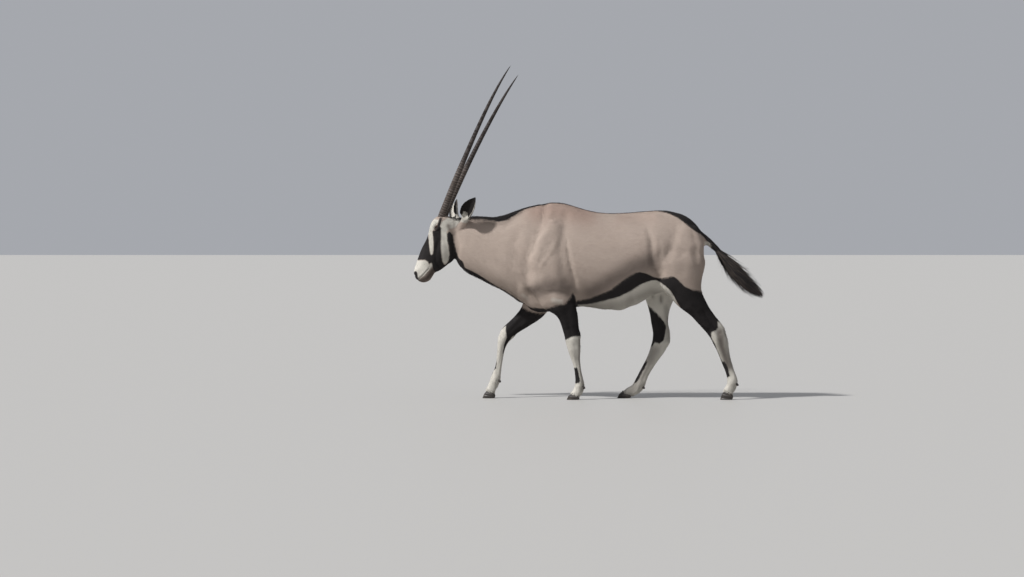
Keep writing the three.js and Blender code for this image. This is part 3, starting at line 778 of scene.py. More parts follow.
def end_in_hoof(mesh, leg):
    toe, heel, y, top = HOOVES[leg]
    side = side_of(leg)
    front, back = toe + 0.3 * (heel - toe), heel
    made = bmesh_of(mesh)
    near = [
        vertex
        for vertex in made.verts
        if vertex.co.z < top + 0.06
        and abs(vertex.co.x - (toe + heel) / 2) < FOOT_REACH
        and vertex.co.y * side > 0
    ]
    faces = {face for vertex in near for face in vertex.link_faces}
    edges = {edge for face in faces for edge in face.edges}
    place = Vector((front, 0, top - CORONET_SINK))
    slope = Vector((back - front, 0, -CORONET_SLOPE))
    normal = Vector((-slope.z, 0, slope.x)).normalized()
    cut = bmesh.ops.bisect_plane(
        made, geom=[*faces, *edges, *near], plane_co=place, plane_no=normal, clear_inner=True
    )
    rim = [item for item in cut["geom_cut"] if isinstance(item, bmesh.types.BMEdge)]
    bmesh.ops.holes_fill(made, edges=rim, sides=0)
    to_mesh(made, mesh)


for leg in LEGS:
    end_in_hoof(skin_mesh, leg)

check = bmesh_of(skin_mesh)
open_edges = sum(not edge.is_manifold for edge in check.edges)
bmesh.ops.triangulate(check, faces=[face for face in check.faces if len(face.verts) > 4])
# Tufts choose their places by the order of the faces, which has to be the same in every run.
skin_mesh = in_order(to_mesh(check, skin_mesh), "skin")
print("skin:", triangle_count(skin_mesh), "triangles,", open_edges, "open edges")

skin = placed("skin", skin_mesh)
skin_mesh.shade_smooth()
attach(skin, "root")
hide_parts(*FLESH, "ear_left", "ear_right")

# %% [markdown]
# ## An unwrap of the skin
# The skin is laid flat in patches that face the same way. The coat's tufts take their place on
# this map from where they grow, so that one picture can hold the colours of each.

# %% The skin's map
MAP_NAME = "OFBake"
MAP_ANGLE = math.radians(70)
while skin_mesh.uv_layers:
    skin_mesh.uv_layers.remove(skin_mesh.uv_layers[0])
skin_mesh.uv_layers.new(name=MAP_NAME)
bpy.context.view_layer.objects.active = skin
skin.select_set(True)
bpy.ops.object.mode_set(mode="EDIT")
bpy.ops.mesh.select_all(action="SELECT")
bpy.ops.uv.smart_project(angle_limit=MAP_ANGLE, island_margin=0.003, scale_to_bounds=False)
bpy.ops.object.mode_set(mode="OBJECT")
print("map:", skin_mesh.uv_layers.keys())

# %% [markdown]
# ## Markings
# A gemsbok is fawn grey above and white below, with a black stripe between. Its face is a black
# and white mask, and its legs are black down to the knee and the hock and white below. Each
# marking is an outline read off the photo. What is stored on the skin is how far inside the
# outline a place lies, so that the edge stays sharp between the points of the mesh.
#
# The photo shows the left side, the inner sides of the right legs, and the head's left side. The
# other side repeats it. A place on the right is looked up at its mirror image, and one on a leg
# at the same place of the leg that the photo shows, bone by bone.

# %% Reading the photo's outlines
PIXEL = -CAMERA_PLACE.y / FOCUS


def bent(straight):
    """Where places on a straight animal are, once the neck has bent and the head has turned."""
    x, y, z = straight.T
    shift, angle = neck_turn(x)
    return np.stack([x + y * np.sin(angle), shift + y * np.cos(angle), z], 1)


def seen_at(places):
    """The photo's pixels at which places are seen."""
    reach = FOCUS / (places[:, 1] - CAMERA_PLACE.y)
    column = PHOTO_WIDTH / 2 + (places[:, 0] - CAMERA_PLACE.x) * reach
    return np.stack([column, EYE_LEVEL_ROW + (CAMERA_PLACE.z - places[:, 2]) * reach], 1)


def inside_by(points, outline):
    """How far inside the outline the points lie, in metres. Below 0 is outside."""
    outline = np.asarray(outline, float)
    distance = away_from(points, [*outline, outline[0]])[0]
    inside = np.zeros(len(points), bool)
    for (x0, y0), (x1, y1) in zip(outline, np.roll(outline, -1, 0)):
        crosses = (y0 > points[:, 1]) != (y1 > points[:, 1])
        slope = (x1 - x0) / (y1 - y0) if y1 != y0 else 0
        inside ^= crosses & (points[:, 0] < x0 + (points[:, 1] - y0) * slope)
    return np.where(inside, distance, -distance) * PIXEL


def inside_any(points, outlines):
    return np.maximum.reduce([inside_by(points, outline) for outline in outlines.values()])


def bells(points, marks):
    """The sum of soft marks: each is a path, its width in pixels and its strength."""
    return sum(strength * bell(away_from(points, path)[0], width) for path, width, strength in marks)


# Where the upper end of each leg is taken to swing from, seen from the side.
LEG_ROOTS = {
    "foreleg_left": (-0.248, 0.850),
    "foreleg_right": (-0.262, 0.850),
    "hindleg_left": (0.560, 0.900),
    "hindleg_right": (0.500, 0.900),
}


def side_joints(leg):
    return np.array([LEG_ROOTS[leg], *((x, z) for x, z, y in JOINTS[leg])])


def as_on(points, leg, other):
    """Side-view places of this leg, as they would lie on the other one."""
    total, weights = 0, 0
    ours, theirs = side_joints(leg), side_joints(other)
    for start, end, new_start, new_end in zip(ours, ours[1:], theirs, theirs[1:]):
        bone, new_bone = end - start, new_end - new_start
        down, there = bone / np.linalg.norm(bone), new_bone / np.linalg.norm(new_bone)
        share = (points - start) @ down / np.linalg.norm(bone)
        ahead = (points - start) @ (down[1], -down[0])
        place = new_start + share[:, None] * new_bone + ahead[:, None] * np.array([there[1], -there[0]])
        weight = (away_from(points, [start, end])[0] + 0.01) ** -4
        total, weights = total + weight[:, None] * place, weights + weight
    return total / weights[:, None]


# %% [markdown]
# The outlines follow, first the ones on the side that faces the camera, then those of the inner
# sides of the legs. Where a marking runs out over the animal's edge, its outline goes on outside.

# %% Black outlines of the side that the camera sees
BLACK = {
    "flank, thigh and hind leg": [
        (572, 297), (576, 300.5), (590, 298), (600, 294), (610, 290), (620, 282), (630, 275),
        (635, 272.5), (640, 272), (645, 273), (650, 275.5), (655, 277.3), (660, 278), (665, 277.5),
        (672, 276), (676, 278), (680, 282), (685, 286.5), (690, 288.5), (700, 290.5), (712, 291),
        (716, 300), (726, 316), (719, 318.5), (717.5, 322), (718, 328), (715.5, 330), (711.5, 332),
        (711, 337), (714, 342), (717, 349), (722, 361), (717, 362), (708, 346), (700, 335),
        (690, 322), (680, 308), (674.5, 297), (670, 290), (665, 285.5), (660, 282), (655, 280),
        (650, 280.5), (640, 284.5), (630, 291), (620, 296), (610, 299), (600, 301.5), (590, 303.5),
        (575, 305),
    ],
    "foreleg": [
        (572.5, 292), (575.5, 297), (577, 304), (578.5, 318), (581, 330), (583, 336), (576, 336),
        (572, 336.5), (569, 338), (565, 340), (558, 341), (550, 325), (556, 310), (558.5, 307),
        (561, 305.5), (566, 302), (570, 297.5),
    ],
    "brisket": [
        (516, 297), (521, 301.5), (525, 304.5), (531, 307), (541, 308.4), (550, 307), (556, 304.8),
        (562, 304), (562, 318), (540, 320), (520, 316), (510, 303),
    ],
    "rump and tail": [
        (648, 200), (648, 211.6), (655, 211.6), (664, 212.2), (670, 214.8), (676, 218.5), (682, 222),
        (688, 226.5), (694, 230.5), (700, 233), (704, 237), (706, 240.5), (710, 243), (712, 262),
        (740, 262), (735, 235), (700, 215), (680, 200),
    ],
    "nape": [
        (452, 205), (457, 213), (464, 216.4), (470, 217.8), (477, 218.6), (484, 219.2), (492, 220.6),
        (500, 221.6), (507, 219.6), (514, 215), (522, 210), (530, 206), (536, 203.8), (536, 190),
        (480, 190),
    ],
    "front of the foreleg's shin": [
        (570, 367.5), (577, 367.5), (578.5, 372), (580, 380), (579.5, 383), (575, 383.5), (569, 378),
    ],
    "front of the hind shin": [
        (718, 361), (725, 361.5), (727.5, 366), (730, 376), (727, 377.5), (720, 378),
    ],
}
print("black outlines:", len(BLACK))

# %% Outlines of the face
MASK = [
    (400, 235.5), (432, 235.5), (432, 230.5), (440.6, 230.5), (440.8, 238), (440.6, 246), (441.2, 254),
    (442, 261), (445, 265), (447.5, 262), (449.2, 255), (448.3, 247), (447, 240), (446.4, 234),
    (448.6, 231), (452, 234), (453.5, 242), (454.8, 248), (456.5, 253), (459, 258), (463, 262),
    (470, 290), (437, 290), (436.2, 274), (433.5, 270), (431, 263.5), (429, 264.5), (428, 262),
    (425, 260), (417.5, 260), (400, 261),
]
# Where the nostril is painted black: the dark skin of its rim, and painted shade in its opening.
NOSTRIL_SKIN_AND_SHADE = [(415.4, 272.8), (415.8, 276.0), (416.6, 279.2)]
NOSTRIL_SKIN_AND_SHADE_HALF = 0.0100
# The black from the horn to the eye and round the eye: path and half width in metres.
EYE_MARKS = [([(440.5, 219), (439, 224), (437.5, 228)], 0.0085), ([(437.5, 228.5), (437.8, 229)], 0.019)]
WHITE_FACE = {
    "brow and stripe": [
        (405, 223.5), (431, 223), (434.5, 219), (438.5, 220), (437, 224), (434.6, 226.5), (433.6, 229.5),
        (432.3, 231.5), (432.8, 236), (433.3, 242), (433.3, 250), (432.6, 254), (431.5, 255.4),
        (430.3, 254.4), (429.6, 250), (429, 245), (428.6, 240), (428.2, 235.5), (405, 235.5),
    ],
    "muzzle": [
        (400, 261), (417.5, 260.3), (425, 260.3), (428, 262.3), (429, 265), (431, 263), (432.5, 265.5),
        (432, 268), (430, 269.5), (424.5, 275.5), (418, 280.7), (412, 282.7), (400, 284),
    ],
    "cheek": [
        (440.9, 231), (446.5, 231), (447, 240), (448.2, 247), (449, 255), (448.2, 260), (446.3, 263.6),
        (444, 264.3), (442.3, 261.5), (441.3, 255), (440.7, 246),
    ],
    "temple": [
        (441, 222), (444, 220), (449, 217), (455, 213), (461, 212), (460, 222), (454, 227), (449, 229),
        (446.5, 231.5), (440.5, 231.5), (440, 226),
    ],
}
print("white outlines of the face:", len(WHITE_FACE))

# %% White outlines of the side that the camera sees
WHITE = {
    "belly": [
        (575, 304.5), (590, 303), (600, 301), (610, 298.5), (620, 295.5), (630, 290.5), (640, 284),
        (650, 280), (655, 279.5), (660, 281.5), (665, 285), (670, 289.5), (676, 299), (676, 312),
        (640, 330), (600, 330), (576, 330),
    ],
    "foreleg": [(550, 335), (590, 333), (596, 405), (555, 405)],
    "hind leg": [(717, 318), (726, 314), (745, 405), (712, 405), (700, 350), (705, 336), (711, 331)],
    "under the tail": [(704, 242), (708, 240.5), (712, 245.5), (712, 249), (706, 249)],
}
print("white outlines:", len(WHITE))

# %% Outlines of the legs' inner sides
INNER_BLACK = {
    "forearm": [
        (500, 322), (512, 306), (522, 306), (530, 311), (541, 313), (551, 311), (542, 318), (532, 326),
        (522, 332), (513, 336), (510, 340), (508, 345), (505.5, 353), (502.8, 353), (504, 345),
        (506.8, 337.5), (506, 331), (506.3, 325),
    ],
    "front of the cannon": [(490, 354), (497.3, 353.5), (497.2, 360), (496.3, 368.5), (489, 369)],
    "gaskin": [
        (646, 304), (650, 306.5), (655, 311), (660, 316), (664, 321), (666, 325), (665.5, 333),
        (664, 340), (660, 343.5), (655, 342), (652.5, 346), (646, 346), (644, 325),
    ],
    "shin": [(638, 360), (647.5, 361.5), (646, 366), (638, 381), (634, 384), (624, 380)],
}
INNER_WHITE = {
    "foreleg": [(490, 320), (508, 320), (516, 338), (512, 352), (508, 410), (476, 410), (488, 350)],
    "hind leg": [(636, 262), (690, 280), (690, 330), (676, 346), (650, 410), (596, 410), (636, 345)],
}
print("outlines of the inner sides:", len(INNER_BLACK) + len(INNER_WHITE))

# %% [markdown]
# The photo also shows marks without an edge: the dusk along the flank's stripe and the back of the
# thighs, the pale elbow, the smoky chin and the warmer hump. Some of the dark ones are partly painted
# shade: under the shoulder, under the belly and on the lower legs. The pale elbow is partly painted
# highlight. An outline would be too hard for them. Each is a path with a width and a strength, and
# fades away from the path.

# %% Soft marks
# Each mark is: its path, its width in pixels and its strength. Below 0 is lighter.
SHADES = [
    # Painted shade under the shoulder.
    ([(533, 291), (550, 285), (568, 289)], 10, 0.58),
    # The low flank above the stripe: partly dusky hair, partly painted shade.
    ([(590, 292), (614, 278), (632, 267), (648, 262)], 11, 0.62),
    # The back of the thigh: partly grey hair, partly painted shade.
    ([(702, 262), (703, 290)], 10, 0.36),
    ([(448, 226), (450, 232)], 2.6, 0.55),
    ([(420, 282), (427, 278), (434, 270)], 4.2, 0.95),
    # Temple and cheek: greyer hair, partly painted shade.
    ([(446, 220), (454, 222)], 7, 0.26),
    ([(444, 238), (446, 258)], 4, 0.30),
    # Painted shade under the belly, over its white hair.
    ([(585, 309), (620, 305), (650, 292), (668, 297)], 7, 0.46),
    # The nape's lower edge: dark mane, partly a painted shadow of the ear.
    ([(466, 219), (480, 221), (494, 223), (504, 222), (520, 212)], 3.2, 0.42),
    ([(459, 226), (463, 216)], 3.5, 0.20),
    ([(515, 252), (519, 264)], 5, 0.22),
    # Rear edge of the fore cannon: dusky hair, partly painted shade by the tendons.
    ([(579.5, 338), (580, 365), (583, 388)], 1.8, 0.50),
    # The hock and the hind cannon: dusky hair, partly painted shade.
    ([(720, 332), (722, 347), (729, 366)], 5.5, 0.74),
    # Below the fore knee and at the hind fetlock: grey mottles, partly painted shade.
    ([(572, 352), (577, 358)], 3, 0.22),
    ([(733, 384), (728, 392)], 4, 0.25),
    # Lighter: the elbow and the point of the shoulder, partly whitish hair and partly painted highlight,
    # and a light streak behind the shoulder.
    ([(553, 299.5), (561, 301)], 3.6, -0.85),
    ([(522.5, 294.5), (527, 298)], 3.2, -0.75),
    ([(576.5, 279), (577, 286)], 1.6, -0.35),
]
INNER_SHADES = [
    ([(652, 292), (653, 296)], 2.4, 0.60),
    ([(661, 296), (661, 301)], 2.2, 0.60),
    ([(666, 306), (668, 340)], 3.5, 0.40),
    # The far hind leg's lower part: grey hair, partly painted shade.
    ([(655, 350), (644, 372), (630, 392)], 7, 0.50),
    ([(522, 311), (533, 315)], 4, -0.20),
]
WARM = [([(536, 210), (560, 208), (585, 214)], 13, 1.0), ([(620, 216), (650, 216)], 8, 0.4)]
print("soft marks:", len(SHADES) + len(INNER_SHADES) + len(WARM))

# %% Marks along the middle line
# The black on top of the rump widens to the tail: x and half width.
RUMP_AT = (0.36, 0.42, 0.50, 0.58, 0.64)
RUMP_HALF = (0.013, 0.032, 0.062, 0.100, 0.200)
# The black of the forehead narrows downwards: the photo's rows and half width.
FOREHEAD_ROWS = (206, 215, 223)
FOREHEAD_HALF = (0.023, 0.020, 0.009)
# Half width of the dark line along the back, at these x of the straight animal.
BACK_LINE_AT = (-0.88, -0.80, -0.60, -0.42, -0.30, 0.0, 0.30, 0.46)
BACK_LINE_HALF = (0.010, 0.018, 0.022, 0.021, 0.016, 0.012, 0.013, 0.020)
THROAT = [
    (446, 274), (455, 272), (463, 271.5), (470, 274), (480, 278), (490, 284), (500, 288.5), (510, 294),
    (520, 302),
]
THROAT_HALF, THROAT_NARROWER = 0.037, 0.012
BACK_LINE_FLOOR, BACK_LINE_END = 1.04, 0.5
FOREHEAD_COLUMN = 446    # the forehead's black ends in front of it
print("throat stripe:", len(THROAT), "points")

# %% [markdown]
# Each point of the skin now gets its distance inside the black and the white, and the strength of
# the soft marks. Places on the right are looked up on the left, and places on the legs along the
# bones. On a leg, the direction in which the skin faces tells the inner side from the outer one.

# %% Where each point of the skin is looked up
NECK_X = -0.76           # what is in front of it belongs to no leg
places, normals = places_of(skin_mesh), normals_of(skin_mesh)
straight = straightened(places)
beside = np.abs(straight[:, 1])
mirrored = straight * (1, 0, 1) - np.stack([0 * beside, beside, 0 * beside], 1)
pixels = seen_at(bent(mirrored))
side_view = places[:, [0, 2]]
on_right = places[:, 1] > 0
inner_pixels = pixels.copy()
leg_share = np.zeros(len(places))
for leg in LEGS:
    kind, side = leg.split("_")
    own = (places[:, 1] * SIDES[side] > 0) & (straight[:, 0] > NECK_X)
    distance = away_from(side_view, side_joints(leg))[0]
    share = own * rise(-places[:, 2], -0.86, -0.64) * rise(-distance, -0.26, -0.14)
    lower_share = own * rise(-places[:, 2], -0.74, -0.62) * rise(-distance, -0.22, -0.12)
    leg_share = np.maximum(leg_share, lower_share)
    for wanted, target in (("left", pixels), ("right", inner_pixels)):
        spot = as_on(side_view, leg, f"{kind}_{wanted}") if side != wanted else side_view
        depth = (-1 if wanted == "left" else 1) * np.abs(places[:, 1])
        moved = seen_at(np.stack([spot[:, 0], depth, spot[:, 1]], 1))
        target[:] += share[:, None] * (moved - target)
outward = rise(np.where(on_right, 1, -1) * normals[:, 1], -0.45, 0.15)
inner = leg_share * (1 - outward)
print("points on the legs' inner sides:", int((inner > 0.5).sum()))

# %% Markings on the skin
white_face = inside_any(pixels, WHITE_FACE)
face = np.minimum(inside_by(pixels, MASK), -white_face)
for path, radius in EYE_MARKS:
    face = np.maximum(face, radius - away_from(pixels, path)[0] * PIXEL)
forehead = np.interp(pixels[:, 1], FOREHEAD_ROWS, FOREHEAD_HALF) - beside
above_eyes = (FOREHEAD_ROWS[-1] - pixels[:, 1]) * PIXEL
forehead = np.minimum.reduce([forehead, above_eyes, (FOREHEAD_COLUMN - pixels[:, 0]) * PIXEL])
back_line = np.interp(straight[:, 0], BACK_LINE_AT, BACK_LINE_HALF) - beside
back_line = np.minimum.reduce(
    [back_line, places[:, 2] - BACK_LINE_FLOOR, BACK_LINE_END - straight[:, 0]]
)
throat_distance = away_from(straight[:, [0, 2]], on_photo(THROAT))[0]
throat_half = THROAT_HALF - THROAT_NARROWER * rise(straight[:, 0], -0.75, -0.5)
throat = throat_half - np.hypot(throat_distance, 0.75 * beside)
# The nostril is painted black: dark skin on its rim, and painted shade inside its opening.
nostril = NOSTRIL_SKIN_AND_SHADE_HALF - away_from(pixels, NOSTRIL_SKIN_AND_SHADE)[0] * PIXEL
rump = inside_by(pixels, BLACK.pop("rump and tail"))
rump = np.minimum(rump, np.interp(straight[:, 0], RUMP_AT, RUMP_HALF) - beside)
marks = [inside_any(pixels, BLACK), rump, face, forehead, back_line, throat, nostril]
dark = np.maximum.reduce(marks)
dark = dark + inner * (inside_any(inner_pixels, INNER_BLACK) - dark)
pale = np.maximum(white_face, inside_any(pixels, WHITE))
pale = pale + inner * (inside_any(inner_pixels, INNER_WHITE) - pale)
shade = bells(pixels, SHADES)
shade = shade + inner * (bells(inner_pixels, INNER_SHADES) - shade)
warm = np.clip(bells(pixels, WARM), 0, 1)
print("black or white:", round(float((np.maximum(dark, pale) > 0).mean()), 3), "of the points")

# %% [markdown]
# The two ears differ. The cup of the left one opens to the camera, and a painted shadow darkens it
# inside. The photo shows the white inside of the right one. Both have a black rim and tip.

# %% Markings of the ears
RIM_INSIDE = {"left": 0.80, "right": 0.87}      # where the black rim starts, as a share of the half width
RIM_TIP = 0.86           # from this share of the length on, the ear is black
ear_share = np.zeros(len(places))
ear_inside = np.zeros(len(places))
for side in EARS:
    base, along, out, across = ear_frame(side)
    frame_out = turned_way(out, base)
    near_ear = np.array([ear_trees[side].find_nearest(place, 0.004)[0] is not None for place in places])
    up = (straight - base) @ along / EAR_LENGTH
    forward = (straight - base) @ across * -np.sign(across[0])
    aside = np.abs(forward)
    half = np.interp(up, LEAF_AT, LEAF_WIDTH)
    on_ear = near_ear & (up > -0.12)
    inside = rise(normals @ frame_out, -0.05, 0.15) * rise(up, 0.02, 0.14)
    rim = np.maximum(aside - RIM_INSIDE[side] * half, (up - RIM_TIP) * EAR_LENGTH)
    rim = np.minimum(rim, (up - 0.15) * EAR_LENGTH)
    cup = np.minimum(0.66 * half + forward, (up - 0.16 - 0.10 * (forward > 0)) * EAR_LENGTH)
    # The left ear's cup is painted black inside: a painted shadow in the cup.
    if side == "left":
        rim = np.maximum(rim - 0.003 * (1 - inside), cup * inside - (1 - inside))
    dark[on_ear] = rim[on_ear]
    pale[on_ear] = (np.where(inside > 0.5, 0.01, -0.004 + 0.010 * (up < 0.6)))[on_ear]
    shade[on_ear] = (0.30 * (1 - inside) + 0.18 * inside)[on_ear] * (0.6 if side == "right" else 1.0)
    ear_share[on_ear] = 1
    ear_inside[on_ear] = inside[on_ear]
print("points on the ears:", int(ear_share.sum()))

# %% The markings are kept on the skin
fields = {"dark": dark, "pale": pale, "shade": shade, "warm": warm}


def store(mesh, name, values):
    """Keeps one number for each point of the mesh."""
    layer = mesh.attributes.get(name) or mesh.attributes.new(name, "FLOAT", "POINT")
    layer.data.foreach_set("value", np.asarray(values, np.float32))


PLAIN_TIP, PLAIN_TONE = 0.45, 0.5      # the skin's own, between a tuft's root and its tip
upright = np.maximum(leg_share, rise(-places[:, 2], -0.60, -0.50) * (straight[:, 0] > NECK_X))
for name, values in fields.items():
    store(skin_mesh, name, values)
store(skin_mesh, "upright", upright)
store(skin_mesh, "tip", np.full(len(places), PLAIN_TIP))
store(skin_mesh, "tone", np.full(len(places), PLAIN_TONE))
black_share, white_share = (round(float((values > 0).mean()), 3) for values in (dark, pale))
print("black covers", black_share, "of the points, white", white_share)

# %% [markdown]
# ## Finishes
# A finish is built as an expression: a `Wire` stands for a number that varies over the surface,
# and sums and products of wires add the nodes that work them out.

# %% Helpers for finishes


class Wire:
    """An output of a finish's nodes, which can be reckoned with."""

    def __init__(self, finish, socket):
        self.finish, self.socket = finish, socket

    def math(self, operation, *others, first=None):
        values = dict(enumerate((self if first is None else first, *others)))
        return self.finish.node("Math", {"operation": operation}, values)

    def __add__(self, other):
        return self.math("ADD", other)

    def __sub__(self, other):
        return self.math("SUBTRACT", other)

    def __rsub__(self, other):
        return self.math("SUBTRACT", self, first=other)

    def __mul__(self, other):
        return self.math("MULTIPLY", other)

    __radd__, __rmul__ = __add__, __mul__


class Finish:
    """A material, with its Principled shader's constants set directly."""

    def __init__(self, name, **constants):
        self.material = bpy.data.materials.new(name)
        self.material.use_nodes = True
        self.shader = self.material.node_tree.nodes["Principled BSDF"]
        for socket, value in constants.items():
            self.shader.inputs[socket.replace("_", " ")].default_value = value

    def put(self, socket, value):
        if isinstance(value, Wire):
            self.material.node_tree.links.new(value.socket, socket)
        else:
            socket.default_value = value

    def node(self, kind, settings=None, sockets=None, output=0):
        made = self.material.node_tree.nodes.new(f"ShaderNode{kind}")
        for name, value in (settings or {}).items():
            setattr(made, name, value)
        for name, value in (sockets or {}).items():
            self.put(made.inputs[name], value)
        return Wire(self, made.outputs[output])

    def stored(self, name):
        """A number kept on the mesh's points."""
        return self.node("Attribute", {"attribute_name": name}, output="Fac")

    def places(self, scale):
        spot = self.node("TexCoord", output="Object")
        return self.node("Mapping", None, {"Vector": spot, "Scale": scale})

    def noise(self, scale, detail=2.0, stretch=(1, 1, 1)):
        """Noise about 0, from -0.5 to 0.5."""
        sockets = {"Vector": self.places(stretch), "Scale": scale, "Detail": detail}
        return self.node("TexNoise", None, sockets) - 0.5

    def step(self, value, start, end):
        """0 up to start, 1 from end on."""
        sockets = {"Value": value, "From Min": start, "From Max": end}
        return self.node("MapRange", {"interpolation_type": "SMOOTHSTEP"}, sockets)

    def mixed(self, share, first, second):
        """The first colour where the share is 0, and the second where it is 1."""
        return self.node("Mix", {"data_type": "RGBA"}, {0: share, 6: first, 7: second}, output=2)

    def end(self, **sockets):
        for name, value in sockets.items():
            self.put(self.shader.inputs[name.replace("_", " ")], value)
        return self.material


def colour(red, green, blue):
    return (red, green, blue, 1)


# %% [markdown]
# Skin and tufts share one way of colouring. The stored distances give soft but clear edges, which
# a little noise breaks up as hairs do. Hair is painted darker at its root and lighter at its tip, as
# painted shade down in the coat and painted light on top, and every tuft has a tone of its own. The
# skin also gets the relief of short hairs: streaks that run along the body, and down the legs.

# %% The coat's finish
FAWN = colour(0.392, 0.317, 0.268)
HUMP_FAWN = colour(0.318, 0.226, 0.184)
HAIR_WHITE = colour(0.570, 0.540, 0.480)
HAIR_BLACK = colour(0.017, 0.0145, 0.0145)
# Dusky hair, and the painted shade of the soft marks.
DUSKY_HAIR_AND_SHADE = colour(0.085, 0.066, 0.056)
RELIEF_DEPTH = 0.0012


def coat_finish(name, relief):
    coat = Finish(name, Roughness=0.78, Specular_IOR_Level=0.22)
    ragged = coat.noise(45, 3) * 0.008 + coat.noise(260, 2) * 0.004
    mottled = coat.noise(7, 3)
    fine = coat.noise(90, 3, (0.35, 1, 1))
    tone = coat.stored("tone") - PLAIN_TONE
    base = coat.mixed(coat.stored("warm") * 0.8 + mottled * 0.35, FAWN, HUMP_FAWN)
    pale = coat.step(coat.stored("pale") + ragged, -0.006, 0.006)
    base = coat.mixed(pale, base, HAIR_WHITE)
    # The soft marks: above 0 they darken the coat, as dusky hair and as painted shade; below 0 they lighten
    # it, as whitish hair and as painted highlight.
    shade = coat.stored("shade") + mottled * 0.12 + fine * 0.10
    base = coat.mixed(coat.step(shade, 0.0, 1.0), base, DUSKY_HAIR_AND_SHADE)
    base = coat.mixed(coat.step(0 - shade, 0.15, 1.2), base, HAIR_WHITE)
    dark = coat.step(coat.stored("dark") + ragged, -0.0035, 0.0035)
    base = coat.mixed(dark, base, HAIR_BLACK)
    # Painted shade at each tuft's root and painted light at its tip, beside its own tone and grain.
    light = 1 + (coat.stored("tip") - PLAIN_TIP) * 0.28 + tone * 0.24 + fine * 0.16 + mottled * 0.08
    lit = coat.node("VectorMath", {"operation": "SCALE"}, {0: base, "Scale": light})
    sockets = {"Base_Color": lit}
    if relief:
        along = coat.noise(420, 3, (0.09, 1, 1))
        down = coat.noise(420, 3, (1, 1, 0.09))
        upright = coat.stored("upright")
        height = along * (1 - upright) + down * upright
        bump = {"Strength": 0.55, "Distance": RELIEF_DEPTH, "Height": height}
        sockets["Normal"] = coat.node("Bump", None, bump)
    return coat.end(**sockets)


skin_mesh.materials.clear()
skin_mesh.materials.append(coat_finish("short_coat", True))
hair_finish = coat_finish("coat_tufts", False)
print("finishes:", skin_mesh.materials[0].name, hair_finish.name)

# %% [markdown]
# ## Hooves and dewclaws
# A gemsbok stands on two claws of horn on each foot, black and smooth, with faint growth lines
# that run round them. Two small dewclaws sit behind the fetlock. A claw is lofted through rings
# from the coronet to the flat sole, and its top is laid against the skin so that no gap shows.

# %% Helper for lofted shapes
def loft(rings, marks=None):
    """A closed surface through rings of places, as a new bmesh. The ends are capped."""
    made = bmesh.new()
    order = made.verts.layers.int.new("order")
    mark = made.verts.layers.float.new("mark")
    bmesh.ops.create_circle(made, cap_ends=True, segments=len(rings[0]), radius=1)
    for index, vertex in enumerate(made.verts):
        vertex[order] = index
        vertex.co = rings[0][index]
        vertex[mark] = 0.0 if marks is None else marks[0]
    made.faces.ensure_lookup_table()
    end = made.faces[0]
    for level, ring in enumerate(rings[1:], 1):
        grown = bmesh.ops.extrude_face_region(made, geom=[end])["geom"]
        caps = [item for item in grown if isinstance(item, bmesh.types.BMFace)]
        end = next(face for face in caps if len(face.verts) == len(ring))
        for vertex in end.verts:
            vertex.co = ring[vertex[order]]
            vertex[mark] = 0.0 if marks is None else marks[level]
    bmesh.ops.recalc_face_normals(made, faces=made.faces)
    return made


def piece(name, shapes, material, replaced=()):
    """One object from some bmeshes, at the origin, that rides on the part's root."""
    whole = bmesh.new()
    for shape in shapes:
        part = to_mesh(shape, bpy.data.meshes.new(name))
        whole.from_mesh(part)
        bpy.data.meshes.remove(part)
    mesh = to_mesh(whole, bpy.data.meshes.new(name))
    if "order" in mesh.attributes:
        mesh.attributes.remove(mesh.attributes["order"])
    mesh.shade_smooth()
    mesh.materials.append(material)
    made = placed(name, mesh)
    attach(made, "root")
    if replaced:
        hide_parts(*replaced)
    return made


# %% Rings of the claws
CLAW_WIDTH, CLAW_SPACING = 0.034, 0.038
CLAW_RINGS, CLAW_SIDES = 13, 28
# Where the dewclaws of each leg are: x, y of the middle between the two, and z.
DEWCLAWS = {
    "foreleg_left": (-0.0346, -0.089, 0.076),
    "foreleg_right": (-0.5528, 0.086, 0.106),
    "hindleg_left": (0.9067, -0.086, 0.094),
    "hindleg_right": (0.3374, 0.087, 0.066),
}
DEWCLAW_SPREAD = 0.015
DEWCLAW_HALF = (0.0125, 0.0085, 0.0080)
CLAW_OVER_SKIN = 0.0011
skin_tree = BVHTree.FromPolygons(places.tolist(), [list(face.vertices) for face in skin_mesh.polygons])


